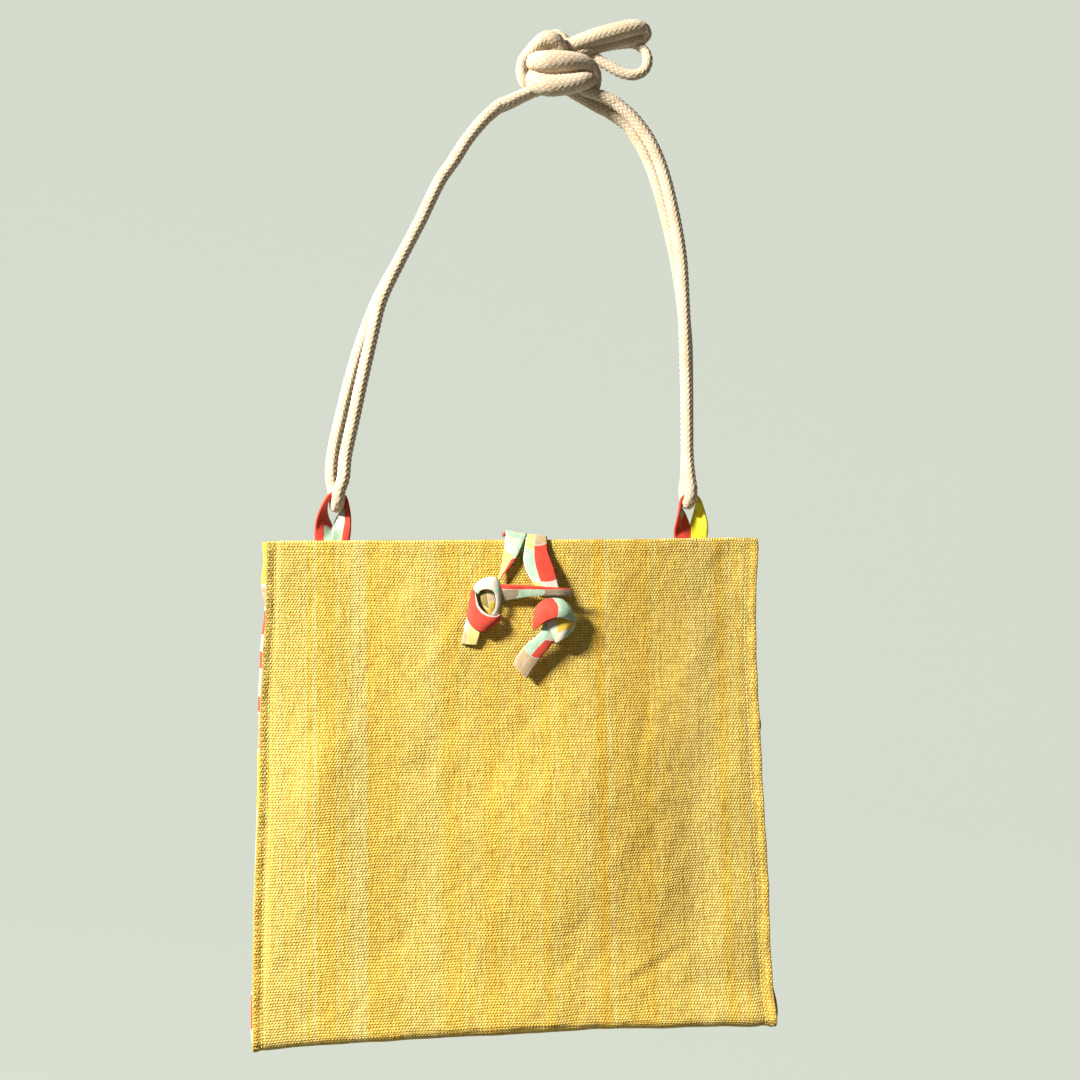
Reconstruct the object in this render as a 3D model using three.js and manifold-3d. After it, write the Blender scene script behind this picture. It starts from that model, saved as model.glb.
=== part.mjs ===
// A flat woven-cloth shoulder bag with print-cloth gussets, tabs and ties, hung from a knotted rope strap.
// Millimetres, +Z up, the front faces -Y. The origin is the underside of the strap below its knot,
// where the strap lies on a shoulder or on a hook.
import * as THREE from "three";
import Module from "manifold-3d";

const wasm = await Module();
wasm.setup();

// Bag
const MOUTH_WIDTH = 356; // across the front at the rim, over both seam flanges
const BASE_WIDTH = 363; // across the front at the base fold
const BAG_HEIGHT = 340; // rim to base
const MOUTH_DEPTH = 27; // front to back at the rim, over the cloth
const BASE_DEPTH = 70; // front to back at the base
const BACK_LEAN = 7; // the back's foot lies this far behind its rim
const BASE_FOLD = 13; // outer radius where the front and the back turn into the base
const CLOTH = 2.2; // woven wall
const HEM = 3.0; // woven wall where the rim is turned over
const HEM_HEIGHT = 7.5; // depth of the turned rim
const FLANGE = 6; // width of the pinched seam down each side
const SEAM_GROOVE = 1.1; // how far the side seam sinks into the cloth
const DENT = 3.2; // deepest soft dent of the front and the back
const BASE_ARCH = 1.5; // the middle of the base stands this much higher than its corners
// Print cloth
const GUSSET_CLOTH = 1.6;
const GUSSET_BULGE_LEFT = 9; // how far the left gusset swells out at the rim
const GUSSET_BULGE_RIGHT = 5;
const GUSSET_TUCK = 8; // how far both gussets fold inwards half way down
const TAB_CLOTH = 2;
const TAB_STRIP = 12.4; // width of the strip that makes a tab
const TAB_HEIGHT = 33.5; // tab above the rim
const TAB_TAIL = 14; // tab below the rim, inside the hem
const TAB_SPREAD = 127; // from the bag's middle to a tab
const TAB_GATHER = 0.6; // the strip's width under the rope, as a share of TAB_STRIP
const TIE_CLOTH = 1.5;
const TIE_WIDTH = 19;
const TIE_DROP = 92; // how far the longer tail hangs below the rim
const TIE_SPREAD = 14.5; // from the left tie to the right one at the rim
const TIE_SWELL = 7; // how far a tie's knot stands off the front
// Strap
const ROPE = 9;
const KNOT_CENTRE = new THREE.Vector3(3, 0, 24);
// Fits and place
const GAP = 0.3; // between pieces
const HANG = 317; // from the origin down to the rim
const BAG_X = -32; // the bag's middle
const BAG_Y = 0; // the middle of the mouth

const mm = (x, y, z) => new THREE.Vector3(x, y, z);
const mix = (a, b, t) => a + (b - a) * t;

// Value at t in a table of [t, value] rows, straight between rows.
function along(table, t) {
  if (t <= table[0][0]) return table[0][1];
  for (let i = 1; i < table.length; i++) {
    const [t0, v0] = table[i - 1];
    const [t1, v1] = table[i];
    if (t <= t1) return mix(v0, v1, (t - t0) / (t1 - t0));
  }
  return table[table.length - 1][1];
}

// Closed cloth wall from a grid of points on its outer side; thickness(i, j) goes inwards.
// Grid points that coincide are joined, so a corner can close to one point.
function clothWall(rows, thickness) {
  const points = [];
  const depth = [];
  const known = new Map();
  const id = rows.map((row, i) =>
    row.map((p, j) => {
      const key = p.toArray().map((v) => v.toFixed(3)).join();
      if (!known.has(key)) {
        known.set(key, points.length);
        points.push(p);
        depth.push(thickness(i, j));
      }
      return known.get(key);
    }),
  );
  const faces = [];
  for (let i = 1; i < id.length; i++)
    for (let j = 1; j < id[i].length; j++) {
      const [a, b, c, d] = [id[i - 1][j - 1], id[i - 1][j], id[i][j], id[i][j - 1]];
      if (a !== b && b !== c && c !== a) faces.push([a, b, c]);
      if (a !== c && c !== d && d !== a) faces.push([a, c, d]);
    }
  const normals = faces.map(([a, b, c]) =>
    new THREE.Vector3()
      .subVectors(points[b], points[a])
      .cross(new THREE.Vector3().subVectors(points[c], points[a]))
      .normalize(),
  );
  const mean = points.map(() => new THREE.Vector3());
  faces.forEach((f, k) => f.forEach((v) => mean[v].add(normals[k])));
  mean.forEach((n) => n.normalize());
  const lean = points.map(() => 1);
  faces.forEach((f, k) => f.forEach((v) => (lean[v] = Math.min(lean[v], mean[v].dot(normals[k])))));
  const inner = points.map((p, v) =>
    p.clone().addScaledVector(mean[v], -depth[v] / Math.max(0.62, lean[v])),
  );
  const count = points.length;
  const edges = new Set();
  faces.forEach(([a, b, c]) => [[a, b], [b, c], [c, a]].forEach(([u, v]) => edges.add(u + "," + v)));
  const tris = [];
  faces.forEach(([a, b, c]) => tris.push([a, b, c], [c + count, b + count, a + count]));
  edges.forEach((e) => {
    const [u, v] = e.split(",").map(Number);
    if (!edges.has(v + "," + u)) tris.push([v, u, u + count], [v, u + count, v + count]);
  });
  return solid(
    new wasm.Mesh({
      numProp: 3,
      vertProperties: new Float32Array([...points, ...inner].flatMap((p) => p.toArray())),
      triVerts: new Uint32Array(tris.flat()),
    }),
  );
}

const solid = (mesh) => new wasm.Manifold(mesh);

// manifold-3d solid of a closed three.js geometry
function solidOf(geometry) {
  const place = geometry.getAttribute("position");
  const verts = [];
  const known = new Map();
  const tris = [];
  for (let i = 0; i < (geometry.index ? geometry.index.count : place.count); i++) {
    const v = geometry.index ? geometry.index.getX(i) : i;
    const p = [place.getX(v), place.getY(v), place.getZ(v)];
    const key = p.map((c) => c.toFixed(3)).join();
    if (!known.has(key)) {
      known.set(key, verts.length / 3);
      verts.push(...p);
    }
    tris.push(known.get(key));
  }
  const kept = [];
  for (let i = 0; i < tris.length; i += 3) {
    const [a, b, c] = tris.slice(i, i + 3);
    if (a !== b && b !== c && c !== a) kept.push(a, b, c);
  }
  return solid(
    new wasm.Mesh({
      numProp: 3,
      vertProperties: new Float32Array(verts),
      triVerts: new Uint32Array(kept),
    }),
  );
}

function geometryOf(body) {
  const { vertProperties, triVerts, numProp } = body.getMesh();
  const place = new Float32Array(triVerts.length * 3);
  triVerts.forEach((v, i) => {
    for (let k = 0; k < 3; k++) place[3 * i + k] = vertProperties[numProp * v + k];
  });
  const geometry = new THREE.BufferGeometry();
  geometry.setAttribute("position", new THREE.BufferAttribute(place, 3));
  geometry.computeVertexNormals();
  return geometry;
}

// Rope stretch: an eight-sided section along a smooth curve through the points.
function rope(points, step) {
  const curve = new THREE.CatmullRomCurve3(points.map(([x, y, z]) => mm(x, y, z)), false, "centripetal");
  const section = new THREE.Shape();
  for (let k = 0; k < 8; k++) {
    const turn = ((k + 0.5) / 8) * 2 * Math.PI;
    section[k ? "lineTo" : "moveTo"]((ROPE / 2) * Math.cos(turn), (ROPE / 2) * Math.sin(turn));
  }
  section.closePath();
  const steps = Math.max(3, Math.round(curve.getLength() / step));
  return solidOf(
    new THREE.ExtrudeGeometry(section, { steps, bevelEnabled: false, extrudePath: curve, curveSegments: 8 }),
  );
}

// Shape of the bag. drop is a share of BAG_HEIGHT below the rim.
const WIDTH_SHARES = [
  // drop, how far the width has gone from mouth to base
  [0, 0],
  [0.25, -0.15],
  [0.5, 0.1],
  [0.72, 0.8],
  [0.9, 1],
  [1, 0.9],
];
const DROPS = [0, HEM_HEIGHT / BAG_HEIGHT, 1.35 * (HEM_HEIGHT / BAG_HEIGHT)];
for (let k = 1; k <= 10; k++) DROPS.push(mix(0.03, 1 - BASE_FOLD / BAG_HEIGHT, k / 10));

const halfWidth = (drop) => mix(MOUTH_WIDTH, BASE_WIDTH, along(WIDTH_SHARES, drop)) / 2;
const frontY = (drop) => BAG_Y + mix(-MOUTH_DEPTH / 2, MOUTH_DEPTH / 2 + BACK_LEAN - BASE_DEPTH, drop);
const backY = (drop) => BAG_Y + MOUTH_DEPTH / 2 + BACK_LEAN * drop;
const wallAt = (drop) => (drop * BAG_HEIGHT < HEM_HEIGHT + 0.01 ? HEM : CLOTH);

// The path that the cloth follows from the back rim under the bag to the front rim.
// Each stop has its place, its outward direction and its drop.
function clothPath() {
  const stops = [];
  const lean = Math.atan2(frontY(0) - frontY(1), BAG_HEIGHT);
  DROPS.forEach((drop) => stops.push({ y: backY(drop), z: -drop * BAG_HEIGHT, out: [1, 0], drop }));
  const foldZ = -BAG_HEIGHT + BASE_FOLD;
  const foldDrop = 1 - BASE_FOLD / BAG_HEIGHT;
  const backFoldY = backY(foldDrop) - BASE_FOLD;
  const frontFoldY = frontY(foldDrop) + BASE_FOLD;
  for (let k = 1; k <= 4; k++) {
    const turn = (k / 4) * (Math.PI / 2);
    stops.push({
      y: backFoldY + BASE_FOLD * Math.cos(turn),
      z: foldZ - BASE_FOLD * Math.sin(turn),
      out: [Math.cos(turn), -Math.sin(turn)],
      drop: 1,
    });
  }
  for (let k = 1; k <= 2; k++)
    stops.push({ y: mix(backFoldY, frontFoldY, k / 3), z: -BAG_HEIGHT, out: [0, -1], drop: 1 });
  for (let k = 0; k < 4; k++) {
    const turn = (1 - k / 4) * (Math.PI / 2);
    stops.push({
      y: frontFoldY - BASE_FOLD * Math.cos(turn),
      z: foldZ - BASE_FOLD * Math.sin(turn),
      out: [-Math.cos(turn), -Math.sin(turn)],
      drop: 1,
    });
  }
  [...DROPS].reverse().forEach((drop) =>
    stops.push({
      y: frontY(drop),
      z: -drop * BAG_HEIGHT,
      out: [-Math.cos(lean), -Math.sin(lean)],
      drop,
      front: true,
    }),
  );
  return stops;
}

// Soft dents and swells of the front, as shares: across of the half width, down of BAG_HEIGHT,
// wide of the half width, high of BAG_HEIGHT, depth of DENT (a swell is below nought).
const DENTS = [
  // across, down, wide, high, depth, slant
  [-0.55, 0.2, 0.3, 0.16, 0.8, 0.3],
  [-0.1, 0.42, 0.35, 0.12, 0.7, -0.4],
  [0.45, 0.24, 0.34, 0.14, 0.9, 0.5],
  [0.62, 0.66, 0.26, 0.18, 0.8, -0.3],
  [-0.42, 0.72, 0.32, 0.13, 0.8, 0.4],
  [0.08, 0.85, 0.4, 0.08, 0.6, 0],
  [-0.75, 0.5, 0.14, 0.24, -0.7, 0],
  [0.2, 0.6, 0.26, 0.16, -0.9, 0.2],
  [-0.2, 0.12, 0.3, 0.08, -0.5, 0],
];

function dentDepth(across, drop) {
  let depth = 0;
  for (const [u, v, wide, high, share, slant] of DENTS) {
    const a = (across - u) / wide;
    const b = (drop - v - slant * (across - u) * 0.3) / high;
    depth += share * Math.exp(-a * a - b * b);
  }
  return DENT * depth;
}

// One woven cloth makes the front, the base and the back; its side edges stand out as pinched seams.
function wovenBody() {
  const inset = [0, 0.5, 1, 1.5, 2.6];
  const walls = [];
  const rows = clothPath().map(({ y, z, out, drop, front }) => {
    const half = halfWidth(drop);
    const xs = inset.map((s) => half - s * FLANGE);
    const wide = xs[xs.length - 1];
    for (let k = 1; k < 15; k++) xs.push(mix(wide, -wide, k / 15));
    [...inset].reverse().forEach((s) => xs.push(s * FLANGE - half));
    const grooves = [];
    const row = xs.reverse().map((x) => {
      const across = x / half;
      const fromEdge = half - Math.abs(x);
      const groove = SEAM_GROOVE * Math.exp(-(((fromEdge - FLANGE) / (FLANGE / 2.6)) ** 2));
      grooves.push(wallAt(drop) - groove);
      const field = THREE.MathUtils.smoothstep(fromEdge, FLANGE * 1.2, FLANGE * 6);
      const level = THREE.MathUtils.smoothstep(drop * BAG_HEIGHT, HEM_HEIGHT, HEM_HEIGHT * 6);
      const foot = 1 - THREE.MathUtils.smoothstep(drop, 0.86, 0.96);
      const dent = dentDepth(front ? across : -across, drop) * field * level * foot;
      const arch = drop === 1 ? BASE_ARCH * (1 - across * across) ** 2 : 0;
      const sink = groove + dent;
      return mm(BAG_X + x, y - out[0] * sink, -HANG + z - out[1] * sink + arch);
    });
    walls.push(grooves);
    return row;
  });
  return clothWall(rows, (i, j) => walls[i][j]);
}

// How far a gusset stands out of its seam line, as shares of its own bulge or of GUSSET_TUCK.
const GUSSET_FORM = [
  // drop, share of the bulge, share of the tuck
  [0, 1, 0],
  [0.1, 0.8, 0.05],
  [0.22, 0.2, 0.5],
  [0.45, 0, 1],
  [0.7, 0, 0.9],
  [0.86, 0.25, 0.35],
  [0.95, 0.3, 0],
  [1, 0, 0],
];

// Across a gusset, from its back seam to its front seam.
const GUSSET_SECTION = [
  // share of the way, share of the swell
  [0.12, 0.15],
  [0.3, 0.72],
  [0.5, 1],
  [0.7, 0.72],
  [0.88, 0.15],
];

// A gusset closes one side. Its edges lie behind the flanges of the woven cloth, and follow them
// round the base. side is -1 on the left and 1 on the right.
function gusset(side, bulge) {
  const path = clothPath();
  const half = Math.floor(path.length / 2);
  const inside = (s) => {
    const off = wallAt(s.drop) + 2 * GAP;
    return { y: s.y - s.out[0] * off, z: s.z - s.out[1] * off };
  };
  const rows = [];
  const straight = DROPS.length + 4;
  for (let i = 0; i < straight; i++) {
    const back = inside(path[i]);
    const front = inside(path[path.length - 1 - i]);
    const drop = -path[i].z / BAG_HEIGHT;
    const edge = halfWidth(path[i].drop);
    const seam = edge - FLANGE;
    const swell =
      bulge * along(GUSSET_FORM.map(([d, b]) => [d, b]), drop) -
      GUSSET_TUCK * along(GUSSET_FORM.map(([d, , t]) => [d, t]), drop);
    const row = [[edge, back.y, back.z], [seam, back.y, back.z]];
    for (const [w, share] of GUSSET_SECTION)
      row.push([seam + swell * share, mix(back.y, front.y, w), mix(back.z, front.z, w)]);
    row.push([seam, front.y, front.z], [edge, front.y, front.z]);
    rows.push(row);
  }
  const last = rows[rows.length - 1];
  const foot = last.map(([x, y, z], j) => {
    if (j < 2) return last[0];
    if (j > last.length - 3) return last[last.length - 1];
    return [halfWidth(1), y, z];
  });
  rows.push(foot);
  const placed = rows.map((row) => {
    const points = row.map(([x, y, z]) => mm(BAG_X + side * x, y, -HANG + z));
    return side < 0 ? points : points.reverse();
  });
  return clothWall(placed, () => GUSSET_CLOTH);
}

// A strip of cloth along a line of stops. Each stop gives the strip's middle, its width, the turn of
// its width in the plane of the front (0 level, 90 upright), the tilt of its width towards the back,
// and its cup, how far both edges rise over the middle.
function strip(stops, cloth) {
  const curve = new THREE.CatmullRomCurve3(stops.map((s) => mm(s.x, s.y, s.z)), false, "centripetal");
  const fine = 2;
  const rows = [];
  const total = (stops.length - 1) * fine;
  const middles = [];
  for (let k = 0; k <= total; k++) middles.push(curve.getPoint(k / total));
  for (let k = 0; k <= total; k++) {
    const from = stops[Math.min(stops.length - 2, Math.floor(k / fine))];
    const to = stops[Math.min(stops.length - 1, Math.floor(k / fine) + 1)];
    const t = Math.min(1, k / fine - Math.min(stops.length - 2, Math.floor(k / fine)));
    const turn = THREE.MathUtils.degToRad(mix(from.turn, to.turn, t));
    const tilt = THREE.MathUtils.degToRad(mix(from.tilt, to.tilt, t));
    const width = mix(from.width, to.width, t);
    const cup = mix(from.cup || 0, to.cup || 0, t);
    const run = new THREE.Vector3()
      .subVectors(middles[Math.min(total, k + 1)], middles[Math.max(0, k - 1)])
      .normalize();
    const wide = mm(Math.cos(turn) * Math.cos(tilt), Math.sin(tilt), Math.sin(turn) * Math.cos(tilt));
    wide.addScaledVector(run, -wide.dot(run)).normalize();
    const face = new THREE.Vector3().crossVectors(run, wide);
    const row = [];
    for (const v of [-1, -0.5, 0, 0.5, 1])
      row.push(
        middles[k]
          .clone()
          .addScaledVector(wide, (v * width) / 2)
          .addScaledVector(face, cup * v * v + cloth / 2),
      );
    rows.push(row.reverse());
  }
  return clothWall(rows, () => cloth);
}

// A tab is one strip looped over the rope. Its two legs lie flat inside the front hem, side by side,
// and each turns a quarter on its way up, so the strip's width runs front to back under the rope.
// Heights above the rim are shares of TAB_HEIGHT, sideways places are shares of TAB_STRIP.
const TAB_STOPS = [
  // sideways, up, width share, tilt, cup share
  [-0.56, -1, 1, 0, 0],
  [-0.56, 0, 1, 0, 0],
  [-0.6, 0.22, 1, 12, 0],
  [-0.62, 0.5, 0.95, 48, 0],
  [-0.46, 0.78, 0.8, 78, 0.04],
  [-0.18, 0.925, 0, 86, 0.14],
  [0.16, 0.99, 0, 90, 0.16],
  [0.5, 0.925, 0, 94, 0.14],
  [0.72, 0.78, 0.8, 102, 0.04],
  [0.72, 0.5, 0.95, 132, 0],
  [0.6, 0.22, 1, 168, 0],
  [0.54, 0, 1, 180, 0],
  [0.54, -1, 1, 180, 0],
];

function tab(side) {
  const y = frontY(0) + HEM + GAP + TAB_CLOTH / 2;
  const stops = TAB_STOPS.map(([across, up, share, tilt, cup]) => ({
    x: BAG_X + side * TAB_SPREAD + across * TAB_STRIP,
    y,
    z: -HANG + (up < 0 ? up * TAB_TAIL : up * TAB_HEIGHT),
    width: TAB_STRIP * (share || TAB_GATHER),
    turn: 0,
    tilt,
    cup: cup * TAB_STRIP,
  }));
  return strip(stops, TAB_CLOTH);
}

// Height of the front cloth's outer side at a drop in millimetres.
const frontAt = (down) => frontY(down / BAG_HEIGHT);

// A soft lump: a round form of three half sizes, leaning in the plane of the front.
function lump(x, y, z, wide, deep, high, lean) {
  const form = new THREE.IcosahedronGeometry(1, 2);
  form.scale(wide, deep, high);
  form.rotateY(THREE.MathUtils.degToRad(lean));
  form.translate(x, y, z);
  return solidOf(form);
}

// Stops of a tie strip. Sideways and down are shares of TIE_DROP, proud of TIE_SWELL off the front
// cloth, width of TIE_WIDTH.
function tieStops(table, startX) {
  return table.map(([across, down, proud, width, turn, tilt]) => ({
    x: startX + across * TIE_DROP,
    y: frontAt(Math.max(0, down * TIE_DROP)) - proud * TIE_SWELL - TIE_CLOTH / 2 - GAP,
    z: -HANG - down * TIE_DROP,
    width: width * TIE_WIDTH,
    turn,
    tilt,
    cup: 0,
  }));
}

const TIE_LEFT_STOPS = [
  // across, down, proud, width, turn, tilt
  [0, -0.06, 0.05, 0.7, 0, 0],
  [-0.02, 0.03, 0.45, 0.68, 0, 8],
  [-0.06, 0.12, 0.85, 0.6, 0, 40],
  [-0.11, 0.22, 0.95, 0.55, 0, 75],
  [-0.15, 0.32, 1, 0.6, 0, 70],
  [-0.22, 0.45, 1.1, 0.6, 10, 30],
  [-0.28, 0.62, 0.9, 0.55, 25, 10],
  [-0.36, 0.73, 0.5, 0.6, 30, 0],
  [-0.41, 0.79, 0.4, 0.55, 35, 0],
];
const TIE_LEFT_BRIDGE = [
  [-0.2, 0.36, 1.7, 0.5, 95, 0],
  [-0.08, 0.36, 1.75, 0.5, 93, 0],
  [0.1, 0.375, 1.9, 0.42, 92, 0],
  [0.28, 0.39, 1.8, 0.34, 92, 0],
  [0.4, 0.4, 1.2, 0.3, 92, 0],
  [0.41, 0.4, 0.6, 0.3, 92, 0],
  [0.3, 0.39, 0.16, 0.3, 92, 0],
  [0.1, 0.38, 0.14, 0.34, 92, 0],
  [-0.1, 0.38, 0.2, 0.36, 92, 0],
  [-0.2, 0.4, 0.8, 0.36, 92, 0],
];
const TIE_RIGHT_STOPS = [
  [0, -0.03, 0.05, 0.78, -2, 0],
  [0.03, 0.07, 0.4, 0.95, -6, 0],
  [0.04, 0.18, 0.8, 1.05, -12, 0],
  [0.08, 0.32, 1.05, 0.95, -18, 0],
  [0.11, 0.46, 1.05, 0.8, -14, 0],
  [0.13, 0.6, 1.05, 0.7, -5, 10],
  [0.1, 0.74, 0.9, 0.7, 15, 10],
  [0, 0.88, 0.5, 0.72, 35, 5],
  [-0.1, 0.99, 0.35, 0.7, 42, 0],
];

// The part of a tie inside the bag, up to the first stop in front. The left tie is sewn to the back
// wall and crosses the mouth; the right one is sewn inside the front hem.
function tieRoot(startX, width, fromBack) {
  const lift = -HANG;
  const hemY = frontY(0) + HEM + GAP + TIE_CLOTH / 2;
  const backWall = backY(0) - HEM - GAP - TIE_CLOTH / 2;
  const over = TIE_CLOTH + GAP + 0.6;
  const stop = (y, z) => ({ x: startX, y, z: lift + z, width, turn: 0, tilt: 0, cup: 0 });
  const rim = [
    stop(hemY + 0.4, over * 0.55),
    stop(mix(hemY, frontY(0), 0.55), over + 0.5),
    stop(frontY(0) - TIE_CLOTH / 2 - 3 * GAP, TIE_CLOTH),
  ];
  if (fromBack)
    return [stop(backWall, -12), stop(backWall, -5), stop(backWall - 1.5, 1.5), stop(BAG_Y, 3.4), ...rim.slice(1)];
  return [stop(hemY, -14), stop(hemY, -5), ...rim];
}

function tieLeft() {
  const x = BAG_X;
  const width = TIE_LEFT_STOPS[0][3] * TIE_WIDTH;
  const down = strip([...tieRoot(x, width, true), ...tieStops(TIE_LEFT_STOPS, x).slice(1)], TIE_CLOTH);
  const bridge = strip(tieStops(TIE_LEFT_BRIDGE, x), TIE_CLOTH);
  const knot = lump(
    x - 0.25 * TIE_DROP,
    frontAt(0.67 * TIE_DROP) - TIE_SWELL - GAP,
    -HANG - 0.47 * TIE_DROP,
    0.115 * TIE_DROP,
    TIE_SWELL * 0.95,
    0.2 * TIE_DROP,
    14,
  );
  return down.add(bridge).add(knot);
}

function tieRight() {
  const x = BAG_X + TIE_SPREAD;
  const width = TIE_RIGHT_STOPS[0][3] * TIE_WIDTH;
  const down = strip([...tieRoot(x, width, false), ...tieStops(TIE_RIGHT_STOPS, x).slice(1)], TIE_CLOTH);
  const knot = lump(
    x + 0.14 * TIE_DROP,
    frontAt(0.79 * TIE_DROP) - TIE_SWELL - GAP,
    -HANG - 0.63 * TIE_DROP,
    0.145 * TIE_DROP,
    TIE_SWELL * 0.95,
    0.155 * TIE_DROP,
    -20,
  );
  return down.add(knot);
}

// Strap routes, hand-chosen points in millimetres. Each ring of rope runs down its front leg, turns
// under its tab from front to back, and comes up its back leg.
const LEFT_FRONT = [
  [-42, -5, -7.5], [-53, -5.5, -18.5], [-65, -6, -33.5], [-74, -6, -48], [-84, -6, -62.5],
  [-98, -6.5, -91.5], [-112.5, -7, -120], [-126, -8, -149], [-133, -9, -177], [-139.5, -11, -205.5],
  [-145, -13, -233.5], [-150.5, -16, -260], [-155, -19, -273.5], [-157, -19.6, -280.5],
];
const LEFT_BACK = [
  [-42, 5, -7], [-53, 5, -17], [-64.5, 4.7, -31.5], [-74, 4.5, -46.5], [-83.5, 4.5, -61],
  [-97.5, 4.5, -90], [-112, 4.5, -118], [-127.5, 4.5, -147], [-138.5, 4.5, -175.5], [-147, 4, -204],
  [-154, 3.5, -232.5], [-158, 2.5, -256], [-158.5, 1.4, -271.5], [-157, 1.2, -280.5],
];
const RIGHT_FRONT = [
  [42, -5, -1.5], [55, -5, -12], [66, -5.2, -25.5], [73.5, -5.5, -40], [79, -5.8, -55.5],
  [86, -6.5, -85], [90.5, -7.5, -114], [92, -9, -144], [93, -10, -173], [93.5, -11.5, -202],
  [93.5, -13.5, -231], [94, -16, -258], [95.5, -19, -273.5], [96.5, -19.6, -280.5],
];
const RIGHT_BACK = [
  [39, 5, -6], [52.5, 4.8, -15], [62.5, 4.6, -28], [70, 4.5, -42.5], [75.5, 4.5, -57],
  [83.5, 4.5, -85.5], [90, 4.5, -114], [94.5, 4.5, -143], [97.5, 4.5, -172], [98, 4, -201],
  [98, 3.5, -230], [98, 2.5, -257], [97.5, 1.4, -271.5], [96.5, 1.2, -280.5],
];

// The turn under a tab joins the two legs' last points on a half circle.
function turnUnder(front, back) {
  const [x, y0, z] = front[front.length - 1];
  const y1 = back[back.length - 1][1];
  const reach = (y1 - y0) / 2;
  const points = [];
  for (const k of [-0.2, 0, 0.2, 0.4, 0.5, 0.6, 0.8, 1, 1.2]) {
    const turn = Math.PI * THREE.MathUtils.clamp(k, 0, 1);
    const rise = k < 0 || k > 1 ? 3 : 0;
    points.push([x, y0 + reach - reach * Math.cos(turn), z - reach * Math.sin(turn) + rise]);
  }
  return points;
}

function strapRing(front, back) {
  return rope(front, 22)
    .add(rope(back, 22))
    .add(rope(turnUnder(front, back), 5));
}

// The first two points of a knot strand that continues a strap leg, from KNOT_CENTRE.
function goOn(leg) {
  const end = mm(...leg[0]);
  const run = mm(...leg[0]).sub(mm(...leg[1])).normalize();
  return [GAP, ROPE / 2].map((d) => end.clone().addScaledVector(run, d).sub(KNOT_CENTRE).toArray());
}

// The knot: both pairs of rope end in bights that stick out to the right. Points are from KNOT_CENTRE.
const KNOT_STRANDS = [
  // left front leg into the knot
  [...goOn(LEFT_FRONT), [-33, -5, -25.5], [-26, -5, -22.5], [-17, -4, -18], [-6, 0, -11], [8, 3, -5]],
  // left back leg into the knot
  [...goOn(LEFT_BACK), [-33, 5, -24.5], [-25, 5.5, -21], [-15, 6, -15], [-4, 6, -8], [10, 5, 0]],
  // outer loop over the left and the top, in front
  [[-12, 1, -18], [-21, -3, -15.5], [-27.5, -4, -7], [-28.5, -4, 3], [-24, -4, 10.5], [-16, -4, 17],
    [-8.5, -4, 20.5], [-1.5, -4.5, 17.5], [1, -4, 9], [2, -1, 1]],
  // its twin behind
  [[-10, 7, -12], [-18, 5.5, -9], [-21.5, 5, 1], [-17.5, 5, 10], [-10, 5, 18], [-3, 4.5, 21.5],
    [3, 4, 16.5], [4.5, 4, 8], [5, 5, 0]],
  // upper band across the front, turning down into the right front leg
  [...goOn(RIGHT_FRONT), [31, -5, -20], [26.5, -5, -14.5], [24.8, -6.5, -7], [21.5, -8.5, 1],
    [13.5, -11, 5], [0, -12, 3], [-14.5, -9, -2.5], [-21.5, -3, -6.5], [-15, 4, -3]],
  // lower band across the front
  [[-14, 5, -9], [-21.5, -1, -12.5], [-17, -7, -15.5], [-8, -9.5, -17.5], [4, -10, -16.5],
    [14, -8.5, -13], [19.5, -3.5, -9.5], [16, 3, -5]],
  // right back leg into the knot
  [...goOn(RIGHT_BACK), [24, 5, -26.5], [16, 4.5, -23.5], [9, 4, -19], [4, 4, -12], [2, 5, -3]],
  // upper bight
  [[2, 4, 11], [13, 4, 17], [25, 3, 21], [38, 2, 24.7], [50, 0.5, 27.3], [57.5, -0.5, 27], [61, -1, 23.5],
    [58, 0, 19.3], [50, 1, 17.2], [38, 1.5, 15.5], [24, 2, 12.5], [10, 4, 8]],
  // lower bight
  [[8, 6, 6], [22, 8, 10.5], [36, 8, 14], [48, 6.5, 14], [56, 3, 11.5], [60, 0.5, 6.5], [60, 0, 1],
    [56, 0, -3.8], [48, 0, -5.4], [39, -0.5, -3], [30, -1, 1], [20, 1, 4], [10, 4, 4]],
];

function strapKnot() {
  let body = lump(KNOT_CENTRE.x + 1, KNOT_CENTRE.y + 2, KNOT_CENTRE.z, 17, 8, 13, 0);
  for (const strand of KNOT_STRANDS)
    body = body.add(
      rope(
        strand.map(([x, y, z]) => [x + KNOT_CENTRE.x, y + KNOT_CENTRE.y, z + KNOT_CENTRE.z]),
        9,
      ),
    );
  return body;
}

const PAINTS = {
  woven: { color: 0xdcae4a, roughness: 0.9, metalness: 0 },
  print: { color: 0xefe9dc, roughness: 0.85, metalness: 0 },
  rope: { color: 0xeee4d0, roughness: 0.9, metalness: 0 },
};

const bag = new THREE.Group();
bag.name = "shoulder_bag";

function piece(name, body, paint) {
  const mesh = new THREE.Mesh(geometryOf(body), new THREE.MeshStandardMaterial(PAINTS[paint]));
  mesh.name = name;
  bag.add(mesh);
}

piece("woven_body", wovenBody(), "woven");
piece("gusset_left", gusset(-1, GUSSET_BULGE_LEFT), "print");
piece("gusset_right", gusset(1, GUSSET_BULGE_RIGHT), "print");
piece("tab_left", tab(-1), "print");
piece("tab_right", tab(1), "print");
piece("tie_left", tieLeft(), "print");
piece("tie_right", tieRight(), "print");
piece("strap_left", strapRing(LEFT_FRONT, LEFT_BACK), "rope");
piece("strap_right", strapRing(RIGHT_FRONT, RIGHT_BACK), "rope");
piece("strap_knot", strapKnot(), "rope");

export default bag;
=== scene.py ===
"""A flat woven-cotton shoulder bag with print-cloth sides, tabs and ties, hung from a knotted rope strap.
Metres, in the frame of the CAD: up is +Z, the front faces -Y, the strap rests at the origin. Tables whose
comment names another unit are turned into metres where they are used."""

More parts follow.
